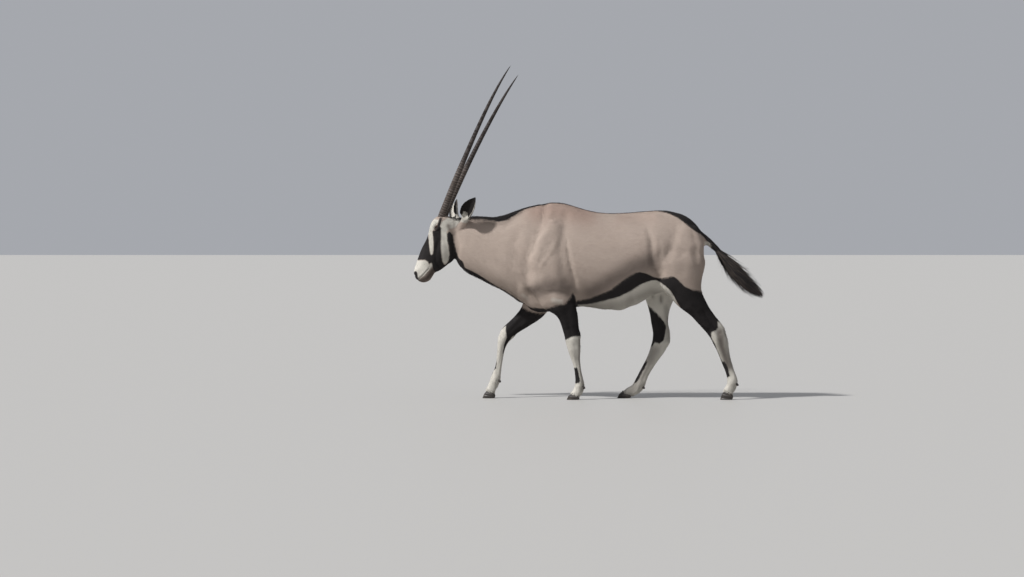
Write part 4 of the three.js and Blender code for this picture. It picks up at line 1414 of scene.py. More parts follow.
def claw_rings(leg, out):
    """Rings of one claw from the coronet to the sole. `out` is 1 for the outer claw."""
    toe, heel, y, top = HOOVES[leg]
    side = side_of(leg)
    length = heel - toe
    # Front and back x, front and back z, and half width, at four levels.
    table = np.array([
        [toe + length * 0.36, heel - 0.008, top + 0.002, top - 0.020, CLAW_WIDTH * 0.40],
        [toe + length * 0.28, heel, top - 0.010, top - 0.028, CLAW_WIDTH * 0.50],
        [toe + length * 0.12, heel + 0.002, top * 0.5, top * 0.24, CLAW_WIDTH * 0.52],
        [toe, heel - 0.006, 0, 0, CLAW_WIDTH * 0.50],
    ])
    down = np.linspace(0, 1, CLAW_RINGS)
    rows = np.stack([np.interp(down * 3, range(4), column) for column in table.T], 1)
    rows[1:-1] = (rows[:-2] + 2 * rows[1:-1] + rows[2:]) / 4
    angle = np.linspace(0, 2 * np.pi, CLAW_SIDES, endpoint=False)
    sideways = np.sign(np.sin(angle)) * np.abs(np.sin(angle)) ** 0.90
    ahead = np.sign(np.cos(angle)) * np.abs(np.cos(angle)) ** 0.85
    share = (1 - ahead) / 2
    rings = []
    for t, (front, back, front_z, back_z, half) in zip(down, rows):
        swell = 1 + 0.010 * np.sin(t * 44) * (0.08 < t < 0.95)
        narrow = (1 - 0.45 * (1 - share) ** 2) * swell
        inward = -out * CLAW_WIDTH * 0.12 * (1 - share)
        place = side * (y + out * CLAW_SPACING / 2 + sideways * half * narrow + inward)
        ring = np.stack([front + (back - front) * share, place, front_z + (back_z - front_z) * share], 1)
        snap = rise(np.array([-t]), -0.48, -0.05)[0]
        for k, spot in enumerate(ring):
            if snap > 0 and sideways[k] * out > -0.35:
                hit, normal, *_ = skin_tree.find_nearest(spot.tolist(), 0.03)
                if hit is not None:
                    wanted = np.array(hit + normal * CLAW_OVER_SKIN)
                    ring[k] += snap * (wanted - spot)
        rings.append(ring)
    return rings


def dewclaw(place):
    made = bmesh.new()
    bmesh.ops.create_uvsphere(made, u_segments=16, v_segments=10, radius=1)
    tilt = Matrix.Rotation(math.radians(38), 4, "Y")
    size = Matrix.Diagonal((*DEWCLAW_HALF, 1))
    bmesh.ops.transform(made, matrix=Matrix.Translation(place) @ tilt @ size, verts=made.verts)
    return made


# %% Hooves
hoof = Finish("hoof_horn", Specular_IOR_Level=0.45)
grain = hoof.noise(60, 3, (1, 1, 5))
dust = hoof.step(hoof.noise(22, 3), -0.1, 0.4)
hoof_colour = hoof.mixed(dust * 0.5, colour(0.035, 0.029, 0.026), colour(0.16, 0.13, 0.105))
bump = hoof.node("Bump", None, {"Strength": 0.35, "Distance": 0.001, "Height": grain})
hoof_horn = hoof.end(Base_Color=hoof_colour, Roughness=0.48 + grain * 0.3, Normal=bump)

for leg in LEGS:
    x, y, z = DEWCLAWS[leg]
    shapes = [loft(claw_rings(leg, out)) for out in (1, -1)]
    shapes += [dewclaw((x, y + out * DEWCLAW_SPREAD, z)) for out in (1, -1)]
    names = [f"{leg}_{what}_{which}" for what in ("claw", "dewclaw") for which in ("outer", "inner")]
    made = piece(f"hoof_{leg}", shapes, hoof_horn, names)
    print(made.name, len(made.data.polygons), "faces")

# %% [markdown]
# ## Horns
# The horns are nearly straight, a metre long, and sweep back. Rings stand out on the lower two
# fifths, closest together near the skull, and the rest is smooth and fine at the tip. Each is
# lofted through loops across its own line, so that the rings follow it.

# %% Lines and rings of the horns
HORN_BASE = (-0.902, 0.031, 1.120)
HORN_RISE, HORN_LEAN, HORN_SWEEP, HORN_TIP_SWEEP = 0.929, 0.369, 0.065, 0.023
HORN_RADIUS, HORN_TAPER = 0.022, 0.66
RINGED_SHARE, RING_COUNT, RING_HEIGHT = 0.42, 28, 0.0026
HORN_SIDES = 24
HORN_SPREAD, HORN_FLARE = 0.095, 0.030
RIGHT_SHORTER, RIGHT_LEAN = 0.945, 0.014


def horn_line(side, t):
    """The middle of a horn at the shares t of its length, on the straight head."""
    is_right = side > 0
    up = (1.02 * t - 0.02) * (RIGHT_SHORTER if is_right else 1)
    lean = HORN_LEAN + (RIGHT_LEAN if is_right else 0)
    x = HORN_BASE[0] + lean * up + HORN_SWEEP * up**2 + HORN_TIP_SWEEP * np.sign(up) * up**8
    y = side * (HORN_BASE[1] + HORN_SPREAD * up + HORN_FLARE * up**2)
    return np.stack([x, y, HORN_BASE[2] + HORN_RISE * up], 1)


def horn_rings(side):
    ringed, plain = np.linspace(0, RINGED_SHARE, RING_COUNT * 6), np.linspace(RINGED_SHARE, 1, 60)
    t = np.concatenate([ringed, plain[1:]])
    middle = horn_line(side, t)
    along = np.gradient(middle, axis=0)
    along /= np.linalg.norm(along, axis=1)[:, None]
    across = np.cross(along, (1, 0, 0))
    across /= np.linalg.norm(across, axis=1)[:, None]
    ahead = np.cross(across, along)
    radius = HORN_RADIUS * (1 - HORN_TAPER * t**0.9) * np.sqrt(np.clip(1 - t**8, 0.004, 1))
    # Rings come closer together towards the skull, and stand out most in front.
    phase = RING_COUNT * (t / RINGED_SHARE) ** 0.88
    crest = (0.5 + 0.5 * np.sin(2 * np.pi * phase + 0.5 * np.sin(2 * np.pi * phase))) ** 0.8
    height = RING_HEIGHT * crest * rise(-t, -RINGED_SHARE, -RINGED_SHARE * 0.75) * (t < RINGED_SHARE)
    angle = np.linspace(0, 2 * np.pi, HORN_SIDES, endpoint=False)
    front = 0.65 + 0.35 * -np.sin(angle)
    wide = radius[:, None] + height[:, None] * front - 0.0006
    rings = middle[:, None] + (wide * 0.94 * np.cos(angle))[..., None] * across[:, None]
    rings = rings + (wide * np.sin(angle))[..., None] * ahead[:, None]
    return turned(rings.reshape(-1, 3)).reshape(rings.shape), height / RING_HEIGHT


# %% Horns
horn = Finish("horn", Specular_IOR_Level=0.3)
fibre = horn.noise(150, 3, (1, 1, 0.05))
worn = horn.step(horn.noise(9, 3), -0.2, 0.4)
shares = worn * 0.35 + fibre * 0.4
horn_colour = horn.mixed(shares, colour(0.028, 0.022, 0.020), colour(0.080, 0.060, 0.050))
# The ring crests are painted lighter: partly dust on them, partly painted highlight.
horn_colour = horn.mixed(horn.stored("mark") * 0.5, horn_colour, colour(0.190, 0.150, 0.128))
bump = horn.node("Bump", None, {"Strength": 0.3, "Distance": 0.0006, "Height": fibre})
horn_finish = horn.end(Base_Color=horn_colour, Roughness=0.58 + worn * 0.12, Normal=bump)
for name, side in SIDES.items():
    made = piece(f"horn_{name}_fine", [loft(*horn_rings(side))], horn_finish, [f"horn_{name}"])
    print(made.name, len(made.data.polygons), "faces")

# %% [markdown]
# ## Eyes
# The eyes are large, dark brown and wet, with a bulging cornea and a pupil that lies level. They
# sit behind the lids, so that only the almond between them shows.

# %% Eyes
CORNEA_HEIGHT, CORNEA_REACH = 0.0012, math.radians(32)
PUPIL_HALF, IRIS_HALF = (0.0072, 0.0036), (0.0135, 0.0125)


def eye_finish(name, side):
    middle, facing, along, up = (Vector(way) for way in turned_frame(side))
    level = facing.cross(Vector((0, 0, 1))).normalized()
    eye = Finish(name, Roughness=0.05, Specular_IOR_Level=0.6)
    place = eye.node("TexCoord", output="Object")
    away = eye.node("VectorMath", {"operation": "SUBTRACT"}, {0: place, 1: middle})
    wide, high = (
        eye.node("VectorMath", {"operation": "DOT_PRODUCT"}, {0: away, 1: way}, output="Value")
        for way in (level, level.cross(facing))
    )
    (pupil_wide, pupil_high), (iris_wide, iris_high) = PUPIL_HALF, IRIS_HALF
    pupil = wide * wide * (1 / pupil_wide**2) + high * high * (1 / pupil_high**2)
    pupil = eye.step(pupil, 0.8, 1.2)
    iris = wide * wide * (1 / iris_wide**2) + high * high * (1 / iris_high**2)
    iris = eye.step(iris, 0.85, 1.15)
    brown = eye.mixed(eye.noise(260, 2) + 0.5, colour(0.016, 0.008, 0.005), colour(0.045, 0.021, 0.011))
    shown = eye.mixed(pupil, colour(0.004, 0.004, 0.006), brown)
    return eye.end(Base_Color=eye.mixed(iris, shown, colour(0.020, 0.013, 0.011)))


def turned_frame(side):
    """The eye's middle and ways, once the head has turned."""
    middle, *ways = eye_frame(side)
    base = turned(middle)[0]
    return [base, *(turned_way(way, middle) for way in ways)]


for name, side in SIDES.items():
    middle, facing, along, up = (Vector(way) for way in turned_frame(side))
    ball = bmesh.new()
    bmesh.ops.create_uvsphere(ball, u_segments=40, v_segments=26, radius=EYE["radius"])
    aimed = Vector((0, 0, 1)).rotation_difference(facing).to_matrix().to_4x4()
    for vertex in ball.verts:
        off = vertex.co.angle(Vector((0, 0, 1)))
        if off < CORNEA_REACH:
            bulge = 0.5 + 0.5 * math.cos(math.pi * off / CORNEA_REACH)
            vertex.co *= 1 + CORNEA_HEIGHT / EYE["radius"] * bulge
    bmesh.ops.transform(ball, matrix=Matrix.Translation(middle) @ aimed, verts=ball.verts)
    piece(f"eyeball_{name}", [ball], eye_finish(f"eye_{name}_finish", side), [f"eye_{name}"])
print("eyes:", 2 * EYE["radius"], "m across")

# %% [markdown]
# ## The coat's tufts
# The coat is short and sleek, so most of it is the relief above. Tufts of a few hairs lie over it:
# thin three-sided spikes that overlap and follow the lie of the hair. It runs back along the body,
# down the legs, and from the nose up and back over the face. They are longest on the body and
# smallest on the face and the feet. All are made at once as arrays, and joined in a few meshes.
#
# Each tuft takes its markings from the skin where it grows. On the map it is a small patch there.

# %% Helpers for tufts
PATCH_RADIUS = 0.0015
SOFTNESS = 0.38          # how much a tuft's own shape turns the light, beside the skin's
dice = np.random.default_rng(11)


def unit(vectors):
    return vectors / np.maximum(np.linalg.norm(vectors, axis=1), 1e-9)[:, None]


def spikes_mesh(name, lines, across, raised, half, flat, roots_uv, values, tone):
    """Three-sided spikes along lines of places (tuft, station, 3), as one mesh."""
    count, stations = lines.shape[:2]
    rings = stations - 1
    share = np.arange(rings) / rings
    full = (1 + share - 2 * share**2) * half[:, None]
    angle = np.radians([90, 210, 330])
    corner = across[:, None] * np.cos(angle)[:, None] + raised[:, None] * np.sin(angle)[:, None] * flat
    points = lines[:, :-1, None] + corner[:, None] * full[..., None, None]
    points = np.concatenate([points.reshape(count, -1, 3), lines[:, -1:]], 1)
    each = rings * 3 + 1
    faces = [
        [ring * 3 + side, ring * 3 + (side + 1) % 3, ring * 3 + 3 + (side + 1) % 3, ring * 3 + 3 + side]
        for ring in range(rings - 1)
        for side in range(3)
    ]
    faces += [[each - 4 + side, each - 4 + (side + 1) % 3, each - 1] for side in range(3)]
    corners = np.concatenate(faces)
    sizes = np.array([len(face) for face in faces])
    mesh = bpy.data.meshes.new(name)
    mesh.vertices.add(count * each)
    mesh.vertices.foreach_set("co", points.astype(np.float32).ravel())
    mesh.loops.add(count * len(corners))
    used = np.arange(count)[:, None] * each + corners
    mesh.loops.foreach_set("vertex_index", used.astype(np.int32).ravel())
    mesh.polygons.add(count * len(sizes))
    starts = np.concatenate([[0], np.cumsum(np.tile(sizes, count))[:-1]])
    mesh.polygons.foreach_set("loop_start", starts.astype(np.int32))
    mesh.update(calc_edges=True)
    mesh.shade_smooth()
    # The light falls on a tuft almost as on the skin under it, so the coat looks sleek.
    way = np.cos(angle)[:, None] * across[:, None] + np.sin(angle)[:, None] * raised[:, None]
    ways = np.concatenate([np.tile(way, (1, rings, 1)), 0 * way[:, :1]], 1)
    leaning = raised[:, None] + SOFTNESS * ways
    custom = mesh.attributes.new("custom_normal", "FLOAT_VECTOR", "POINT")
    custom.data.foreach_set("vector", unit(leaning.reshape(-1, 3)).astype(np.float32).ravel())
    radius = np.append(np.repeat(1 - share, 3), 0) * PATCH_RADIUS
    around = np.append(np.tile(angle, rings), 0)
    patch = np.stack([np.cos(around), np.sin(around)], 1) * radius[:, None]
    layer = mesh.uv_layers.new(name=MAP_NAME)
    layer.uv.foreach_set("vector", (roots_uv[:, None] + patch[corners]).astype(np.float32).ravel())
    for field, numbers in values.items():
        store(mesh, field, np.repeat(numbers, each))
    store(mesh, "tone", np.repeat(tone, each))
    store(mesh, "tip", np.tile(np.append(np.repeat(share, 3), 1), count))
    return mesh


def coat_piece(name, mesh, slot="coat"):
    mesh.materials.append(hair_finish)
    made = placed(name, mesh)
    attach(made, "root")
    print(name, triangle_count(mesh), "triangles")
    return len(mesh.loop_triangles)


# %% [markdown]
# Roots have to lie evenly over the skin, whose triangles are small on the face and large on the
# barrel. So every root picks a triangle by its area and then a random place in it. What is kept for
# the skin's points is averaged there, which gives a tuft its markings, its lie and its map place.

# %% Choosing where tufts grow
print("triangles to grow on:", triangle_count(skin_mesh))
cells = rows_of(skin_mesh.loop_triangles, "vertices", 3, np.int32)
cell_loops = rows_of(skin_mesh.loop_triangles, "loops", 3, np.int32)
map_places = rows_of(skin_mesh.uv_layers[MAP_NAME].uv, "vector", 2, np.float32)[cell_loops]
first, second, third = (places[cells[:, corner]] for corner in range(3))
cell_areas = np.linalg.norm(np.cross(second - first, third - first), axis=1) / 2
cell_middles = (first + second + third) / 3
print("skin's area:", round(float(cell_areas.sum()), 2), "square metres")


def map_spot(place):
    """The map's place of the triangle of skin that is nearest to this place."""
    return map_places[np.argmin(np.linalg.norm(cell_middles - place, axis=1))].mean(0)


class Roots:
    """Places on the skin, spread evenly where the density is 1 and more thinly where it is less."""

    def __init__(self, count, density):
        weights = np.cumsum(cell_areas * np.clip(density[cells].mean(1), 0, None))
        spots = (np.arange(count) + dice.random(count)) / count * weights[-1]
        self.cell = np.minimum(np.searchsorted(weights, spots), len(cells) - 1)
        u, v = dice.random((2, count))
        self.share = np.stack([1 - np.sqrt(u), np.sqrt(u) * (1 - v), np.sqrt(u) * v], 1)

    def of(self, values):
        """What values kept for the skin's points are at the roots."""
        picked = values[cells[self.cell]]
        share = self.share if values.ndim == 1 else self.share[..., None]
        return (picked * share).sum(1)

    def on_map(self):
        return (map_places[self.cell] * self.share[..., None]).sum(1)

    def pick(self, chosen):
        made = object.__new__(Roots)
        made.cell, made.share = self.cell[chosen], self.share[chosen]
        return made


# %% Growing tufts
TUFT_FLATNESS = 0.4
LENGTHS = (0.75, 1.2)    # the shortest and the longest tuft, beside the length asked for


def tufts(name, roots, length, tilt, rings=1, wide=0.13, sink=0.0008, curl=0.08, stray=0.14, slot="coat"):
    """Grows tufts of one kind from the roots. Tilt is in degrees from the skin."""
    count = len(roots.cell)
    start, normal, way = roots.of(places), unit(roots.of(normals)), roots.of(lie)
    x, y, z = start.T
    wave = 0.12 * np.sin(29 * x + 11 * z) * np.sin(23 * z - 31 * y + 1) + 0.08 * np.sin(83 * x - 61 * z)
    turn = (dice.normal(0, stray, count) + wave)[:, None]
    way = unit(way - normal * (way * normal).sum(1)[:, None])
    way = way * np.cos(turn) + np.cross(normal, way) * np.sin(turn)
    across = np.cross(normal, way)
    length = (length * dice.uniform(*LENGTHS, count))[:, None]
    lift = np.radians(tilt * dice.uniform(0.7, 1.3, count))[:, None]
    bend = length * dice.normal(0, 0.10, count)[:, None]
    # The tip keeps its height over the skin where the skin curves.
    ends = (start + way * length + across * bend).tolist()
    found = [skin_tree.find_nearest(end)[:2] for end in ends]
    tips, over = (np.array([pair[which] for pair in found]) for which in range(2))
    over = unit(over + 0.5 * normal)
    lines = []
    for station in np.linspace(0, 1, rings + 1):
        height = length * (np.sin(lift) * station - curl * station**2) - sink * (1 - station)
        up = normal + (over - normal) * station
        lines.append(start + (tips - start) * station + up * height)
    half = length[:, 0] * wide / 2
    values = {field: roots.of(numbers) for field, numbers in fields.items()}
    tone = np.clip(0.5 + dice.normal(0, 0.16, count) + 0.4 * wave, 0, 1)
    lines = np.stack(lines, 1)
    mesh = spikes_mesh(name, lines, across, normal, half, TUFT_FLATNESS, roots.on_map(), values, tone)
    return coat_piece(name, mesh, slot)


# %% [markdown]
# Hair lies back and down along the body, down the neck and the legs, and up from the nose towards
# the brow. The lie is one direction for each point of the skin, which each region changes in turn
# with a soft border, so that no parting shows where two regions meet.

# %% The lie of the hair
def led(ways, target, share):
    return ways + share[:, None] * (np.asarray(target) - ways)


def bone_ways(leg):
    """Which way each place of the leg looks down along the bones."""
    total = 0
    joints = side_joints(leg)
    for start, end in zip(joints, joints[1:]):
        down = (end - start) / np.linalg.norm(end - start)
        weight = (away_from(side_view, [start, end])[0] + 0.01) ** -4
        total = total + weight[:, None] * np.array([down[0], 0, down[1]])
    return unit(total)


x, z = straight[:, 0], places[:, 2]
headness = rise(-x, 0.79, 0.86) * (1 - ear_share)
lie = np.tile((1.0, 0.0, -0.28), (len(places), 1))
lie = led(lie, (0.82, 0, -0.60), rise(-x, 0.42, 0.62))
lie = led(lie, (0.85, 0, -0.35), headness)
lie = led(lie, (0.45, 0, 0.88), rise(-x, 0.88, 0.96))
lie = led(lie, (0.72, 0, -0.68), rise(x, 0.58, 0.66))
for leg in LEGS:
    own = (places[:, 1] * side_of(leg) > 0) & (x > NECK_X) & (x < 1)
    distance = away_from(side_view, side_joints(leg))[0]
    share = own * rise(-z, -0.80, -0.60) * rise(-distance, -0.20, -0.10)
    lie = led(lie, bone_ways(leg), share)
for side in EARS:
    base, along, out, across = ear_frame(side)
    share = ear_share * (straight[:, 1] * SIDES[side] > 0)
    lie = led(lie, turned_way(along, base), share)
print("hair runs down the bones on", int((upright > 0.5).sum()), "points of the legs")

# %% [markdown]
# No hair grows on the hooves or the eyeballs. The tufts' length falls from the barrel to the legs
# and the face, and is least at the nose and over the hooves.

# %% Where short hair grows, and how long it is
HOOF_EDGE_DROP = 0.022
FOOT_TOP = 0.2
BODY_TUFT = 0.0165
HEAD_SHORTER, LEG_SHORTER, NOSE_SHORTER, FOOT_SHORTER = 0.0090, 0.0065, 0.0028, 0.0030
above_hoof = np.full(len(places), 1.0)
for leg in LEGS:
    toe, heel, y, top = HOOVES[leg]
    own = (places[:, 1] * side_of(leg) > 0) & (z < FOOT_TOP)
    own &= np.abs(x - (toe + heel) / 2) < FOOT_REACH
    front, back = toe + 0.36 * (heel - toe), heel - 0.008
    edge = top + 0.002 - HOOF_EDGE_DROP * (x - front) / (back - front)
    above_hoof = np.where(own, z - edge, above_hoof)
free = rise(above_hoof, -0.001, 0.001)
lower = rise(-z, -0.50, -0.40) * (x > NECK_X) * free
eye_gap = np.min([np.linalg.norm(straight - eye_frame(side)[0], axis=1) for side in (-1, 1)], axis=0)
lidded = (eye_gap > EYE["radius"] + 0.0012).astype(float)
tuft_length = BODY_TUFT - HEAD_SHORTER * headness - LEG_SHORTER * lower
tuft_length = tuft_length - NOSE_SHORTER * rise(-x, 0.97, 1.03)
tuft_length = tuft_length - FOOT_SHORTER * rise(-z, -0.14, -0.06) * lower
body = np.clip(1 - headness - lower - ear_share, 0, 1) * (z > 0.3)
print("tufts are", round(tuft_length.min() * 1000, 1), "to", round(tuft_length.max() * 1000, 1), "mm long")

# %% Tufts of the body, the head and the legs
TUFTS = {"body": 236000, "head": 62000, "legs": 56000, "ears": 12000, "long": 21000}
BODY_PIECE, HEAD_PIECE, LEG_PIECE = 60000, 31000, 56000      # the most tufts of one piece
few = 1.0
total = 0


def sorted_parts(name, density, pieces):
    """The roots of one kind, cut from the nose to the tail into this many pieces."""
    roots = Roots(int(TUFTS[name] * few), density)
    order = np.argsort(roots.of(places)[:, 0])
    count = pieces(len(order))
    for index, chosen in enumerate(np.array_split(order, count)):
        yield f"coat_{name}_{index + 1}", roots.pick(chosen)


for name, part in sorted_parts("body", body, lambda count: -(-count // BODY_PIECE)):
    total += tufts(name, part, part.of(tuft_length), 10)
finer = {"wide": 0.15, "sink": 0.0004}
for kind, density, most, slot in (
    ("head", headness * lidded, HEAD_PIECE, "face_coat"),
    ("legs", lower, LEG_PIECE, "leg_coat"),
):
    for name, part in sorted_parts(kind, density, lambda count: max(1, round(TUFTS[kind] / most))):
        total += tufts(name, part, part.of(tuft_length), 12, slot=slot, **finer)

# %% [markdown]
# Longer hair grows on the crest of the neck and along the back, under the throat and the brisket,
# at the elbows, on the edge of the thighs, behind the fetlocks and over the hooves. The ears are
# lined with it.

# %% Where longer hair grows
HEEL_REACH = 0.14
crest = rise(back_line, -0.006, 0.002) * rise(-x, -0.52, -0.40) * (x > -0.865)
neck_crest = crest * rise(-x, 0.40, 0.55) * (x > -0.87) * (z > 0.9)
under = rise(-normals[:, 2], 0.55, 0.85) * (z > 0.5) * (1 - ear_share) * (x > -0.80)
throat_hair = rise(-throat_distance, -0.022, -0.006) * under
belly_hair = under * rise(-beside, -0.06, -0.02) * (1 - throat_hair) * (x > -0.45)
rear = rise(normals[:, 0], 0.55, 0.9) * rise(z, 0.28, 0.40) * rise(-z, -0.75, -0.62) * (x > -0.3)
cuff = np.zeros(len(places))
heel_hair = np.zeros(len(places))
for leg in LEGS:
    toe, heel, y, top = HOOVES[leg]
    own = (places[:, 1] * side_of(leg) > 0) & (np.abs(x - (toe + heel) / 2) < HEEL_REACH)
    cuff = np.maximum(cuff, own * rise(-above_hoof, -0.012, -0.003) * free * (z < FOOT_TOP))
    claw_x, _, claw_z = DEWCLAWS[leg]
    near_dewclaw = rise(-np.hypot(x - claw_x, z - claw_z), -0.045, -0.015)
    heel_hair = np.maximum(heel_hair, own * near_dewclaw * rise(normals[:, 0], 0.0, 0.6))
print("longer hair over", int((np.maximum(crest, under) > 0.5).sum()), "points of the back and the belly")

# %% Longer hair
# Each kind is: where it grows, its length, its tilt in degrees and how densely it grows.
kinds = (
    (crest, 0.022, 14, 1.6),
    (neck_crest, 0.032, 20, 3.0),
    (throat_hair, 0.026, 20, 2.0),
    (belly_hair, 0.022, 14, 1.0),
    (rear, 0.020, 14, 0.8),
    (heel_hair, 0.018, 18, 9.0),
    (cuff, 0.012, 20, 14.0),
)
density, long_length, long_tilt = 1e-9, 0, 0
for share, length, tilt, weight in kinds:
    density = density + share * weight
    long_length = long_length + share * weight * length
    long_tilt = long_tilt + share * weight * tilt
roots = Roots(int(TUFTS["long"] * few), density)
length = roots.of(long_length) / np.maximum(roots.of(density), 1e-9)
tilt = roots.of(long_tilt) / np.maximum(roots.of(density), 1e-9)
total += tufts("coat_long", roots, length, tilt, rings=2, wide=0.085, sink=0.001, curl=0.06)
roots = Roots(int(TUFTS["ears"] * few), ear_share * (0.6 + ear_inside))
length = 0.010 + 0.008 * roots.of(ear_inside) * rise(-roots.of(dark), -0.006, 0.010)
total += tufts("coat_ears", roots, length, 12, rings=2, wide=0.11, sink=0.0004, curl=0.06, slot="face_coat")

# %% [markdown]
# ## The tail's tuft
# The lower half of the tail is a tassel of long black hair that hangs back on the wind of the
# walk. Locks leave the tail one after another, spread out into the tassel's width, and draw
# together again at the tip.

# %% The tassel's line and width
TAIL_LINE = np.array([
    (0.758, 0.948), (0.775, 0.932), (0.818, 0.880), (0.862, 0.828), (0.911, 0.772), (0.960, 0.723),
    (1.009, 0.680), (1.052, 0.643), (1.076, 0.623),
])
# How far the tassel's locks reach from that line, in the side view and sideways.
TAIL_DEPTH = np.array([0.034, 0.036, 0.072, 0.098, 0.108, 0.100, 0.080, 0.052, 0.026]) / 2
TAIL_HALF = np.array([0.032, 0.032, 0.052, 0.072, 0.080, 0.072, 0.052, 0.028, 0.008]) / 2
LOCKS, LOCK_RINGS = 3300, 8
FADED_SHARE = 0.22       # of the locks, which are browner than the rest
LOOSE_SHARE = 0.34       # of the locks, whose tips stand off
steps = np.linalg.norm(np.diff(TAIL_LINE, axis=0), axis=1)
tail_at = np.concatenate([[0], np.cumsum(steps)]) / steps.sum()


def on_tail(spot, column):
    return np.interp(spot, tail_at, column)


def tail_place(spot):
    """x and z of the tail's line at this share of its length."""
    return on_tail(spot, TAIL_LINE[:, 0]), on_tail(spot, TAIL_LINE[:, 1])


print("tassel:", round(float(steps.sum()), 3), "m long")

# %% Tail locks
count = int(LOCKS * (1))
first = 0.60 * dice.random(count) ** 1.3
last = np.clip(first + dice.uniform(0.30, 0.62, count), 0, 1.0) - 0.09 * dice.random(count)
lane_angle = dice.uniform(0, 2 * np.pi, count)
lane_far = np.sqrt(dice.uniform(0.03, 1, count))
loose = (dice.random(count) < LOOSE_SHARE) * dice.uniform(0.2, 1.0, count) ** 2
clump = np.round(lane_angle * 4) / 4 + 0.35 * np.sin(17 * first)
lines = []
for share in np.linspace(0, 1, LOCK_RINGS + 1):
    spot = first + (last - first) * share
    x, z = tail_place(spot)
    (x_before, z_before), (x_after, z_after) = tail_place(spot - 0.02), tail_place(spot + 0.02)
    run, rise_run = x_after - x_before, z_after - z_before
    size = np.hypot(run, rise_run) + 1e-9
    spread = 0.25 + 0.62 * np.sin(np.pi / 2 * np.clip(1.5 * share, 0, 1))
    spread = lane_far * spread * (1 - 0.35 * share**2)
    spread = spread + 1.1 * loose * share**2
    waver = 0.10 * np.sin(5 * share + 9 * lane_far + lane_angle) + (clump - lane_angle) * share**2
    deep = on_tail(spot, TAIL_DEPTH) * spread * np.cos(lane_angle + waver)
    aside = on_tail(spot, TAIL_HALF) * spread * np.sin(lane_angle + waver)
    lines.append(np.stack([x + deep * rise_run / size, aside, z - deep * run / size], 1))
lines = np.stack(lines, 1)
ways = unit(lines[:, -1] - lines[:, 0])
outward_ways = np.stack([np.cos(lane_angle) * 0.6, np.sin(lane_angle), -np.cos(lane_angle) * 0.6], 1)
raised = unit(outward_ways - ways * (outward_ways * ways).sum(1)[:, None])
across = np.cross(raised, ways)
tail_uv = map_spot((0.80, 0, 0.90)) + np.stack([first - 0.3, (lane_angle - np.pi) / 30], 1) * 0.08
faded = dice.random(count) < FADED_SHARE
values = {
    "dark": np.where(faded, -0.02, 0.02), "pale": np.full(count, -0.1),
    "shade": np.full(count, 0.92), "warm": np.zeros(count),
}
tone = np.clip(0.5 + dice.normal(0, 0.30, count), 0, 1)
half = dice.uniform(0.0007, 0.0015, count)
mesh = spikes_mesh("coat_tail", lines, across, raised, half, 0.55, tail_uv, values, tone)
total += coat_piece("coat_tail", mesh, "dark_coat")

# %% The tail's core
CORE_END, CORE_WIDTH, CORE_SIDES = 0.66, 0.46, 12
core_rings = []
angle = np.linspace(0, 2 * np.pi, CORE_SIDES, endpoint=False)
for share in np.linspace(0.0, CORE_END, 14):
    x, z = tail_place(share)
    thin = CORE_WIDTH * (1 - (share / 0.68) ** 3)
    deep, aside = (on_tail(share, column) * thin for column in (TAIL_DEPTH, TAIL_HALF))
    ring = [x + 0.75 * deep * np.cos(angle), aside * np.sin(angle), z + 0.66 * deep * np.cos(angle)]
    core_rings.append(np.stack(ring, 1))
core = Finish("tail_core", Roughness=0.85).end(Base_Color=HAIR_BLACK)
tail_core = piece("tail_core", [loft(core_rings)], core, ["tail_tuft"])
print(tail_core.name, len(tail_core.data.polygons), "faces")

# %% [markdown]
# ## Lashes
# A gemsbok has a row of long black lashes along the upper lid. They are single thin spikes that
# leave the lid's edge and droop a little, made in the same way as the tufts.

# %% Lashes
LASHES, LASH_FROM, LASH_TO = 34, -42, 40      # on each lid, and over which angles
LASH_LENGTHS, LASH_HALF = (0.007, 0.011), 0.00035
LASH_OVER_EYE, LASH_DROOP = 0.0008, 0.35
lash_lines, lash_ways = [], []
for side in (-1, 1):
    middle, facing, along, up = eye_frame(side)
    for across in np.radians(np.linspace(LASH_FROM, LASH_TO, LASHES) + dice.normal(0, 1, LASHES)):
        opening = math.sqrt(max(0, 1 - (math.degrees(across) / LIDS[0]) ** 2))
        above = np.radians(LIDS[1] * opening + 3)
        way = facing * math.cos(above) * math.cos(across)
        way = way + along * math.sin(across) * math.cos(above) + up * math.sin(above)
        root = middle + way * (EYE["radius"] + LASH_OVER_EYE)
        out = facing * 0.8 + up * 0.35 + along * 0.5 * math.sin(across)
        size = dice.uniform(*LASH_LENGTHS)
        stations = np.linspace(0, 1, 4)
        points = [root + out * size * share - up * size * LASH_DROOP * share**2 for share in stations]
        lash_lines.append(turned(np.array(points)))
        lash_ways.append(turned_way(along, middle))
lash_lines, lash_ways = np.array(lash_lines), unit(np.array(lash_ways))
count = len(lash_lines)
raised = unit(np.cross(lash_ways, lash_lines[:, -1] - lash_lines[:, 0]))
head_uv = np.tile(map_spot(lash_lines[0, 0]), (count, 1))
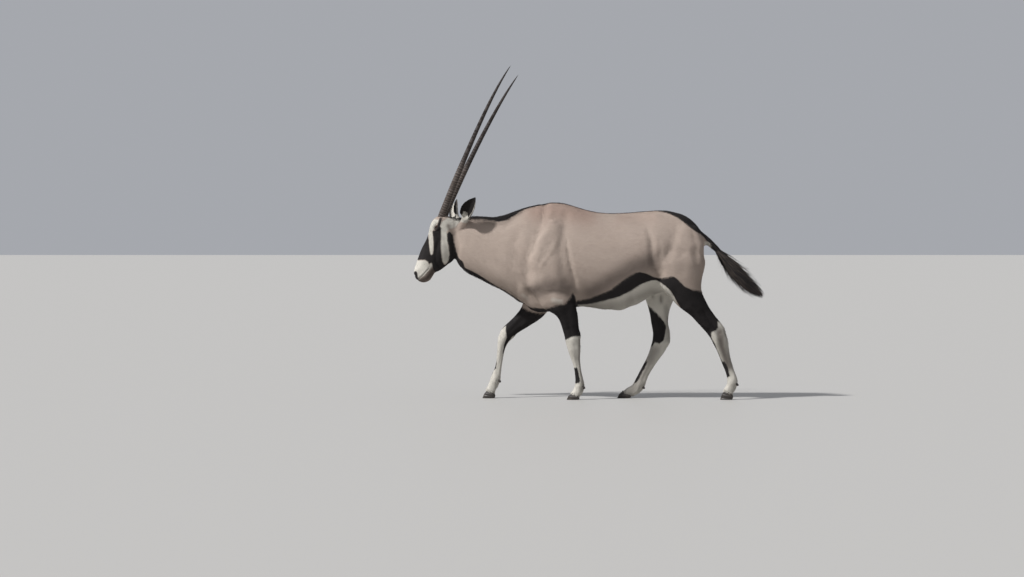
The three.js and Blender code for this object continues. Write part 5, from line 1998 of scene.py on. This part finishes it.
lash_marks = {"dark": 0.02, "pale": -0.1, "shade": 0, "warm": 0}
values = {name: np.full(count, number) for name, number in lash_marks.items()}
half, tone = np.full(count, LASH_HALF), np.full(count, 0.4)
mesh = spikes_mesh("lashes", lash_lines, lash_ways, raised, half, 0.9, head_uv, values, tone)
total += coat_piece("lashes", mesh, "face_coat")
print("tufts in all:", total, "triangles")

# %% [markdown]
# ## Floor and light
# In the photo a high sun stands in front of the animal, a little on the camera's side, and lights
# its back and shoulder. The belly and the inner sides of the legs lie in the sky's pale light. A
# sun lamp and an even world repeat that, over a plain floor.

# %% Floor
FLOOR_HALF = 40.0
FLOOR_COLOUR = colour(0.46, 0.447, 0.425)
floor_shape = bmesh.new()
bmesh.ops.create_grid(floor_shape, x_segments=1, y_segments=1, size=FLOOR_HALF)
floor_mesh = to_mesh(floor_shape, bpy.data.meshes.new("floor"))
floor = placed("floor", floor_mesh)
floor_finish = bpy.data.materials.new("floor")
floor_finish.use_nodes = True
floor_finish.node_tree.nodes["Principled BSDF"].inputs["Base Color"].default_value = FLOOR_COLOUR
floor_mesh.materials.append(floor_finish)
print("floor:", 2 * FLOOR_HALF, "m across")

# %% Light
KEY_WAY = (0.60, 0.36, -0.72)      # down and back, from in front of the animal on the camera's side
KEY_STRENGTH = 4.0
KEY_SOFTNESS = math.radians(5)
KEY_AWAY = 5.0
SKY_COLOUR = colour(0.90, 0.93, 1.0)
SKY_STRENGTH = 0.42
world = bpy.data.worlds.new("studio")
world.use_nodes = True
sky = world.node_tree.nodes["Background"]
sky.inputs["Color"].default_value = SKY_COLOUR
sky.inputs["Strength"].default_value = SKY_STRENGTH
scene.world = world
scene.view_settings.view_transform = "Standard"

key = bpy.data.lights.new("key", "SUN")
key.energy = KEY_STRENGTH
key.angle = KEY_SOFTNESS
key_lamp = placed("key", key)
key_lamp.location = -KEY_AWAY * Vector(KEY_WAY)
key_lamp.rotation_euler = Vector(KEY_WAY).to_track_quat("-Z", "Y").to_euler()
print("key light:", KEY_STRENGTH, "sky:", SKY_STRENGTH)
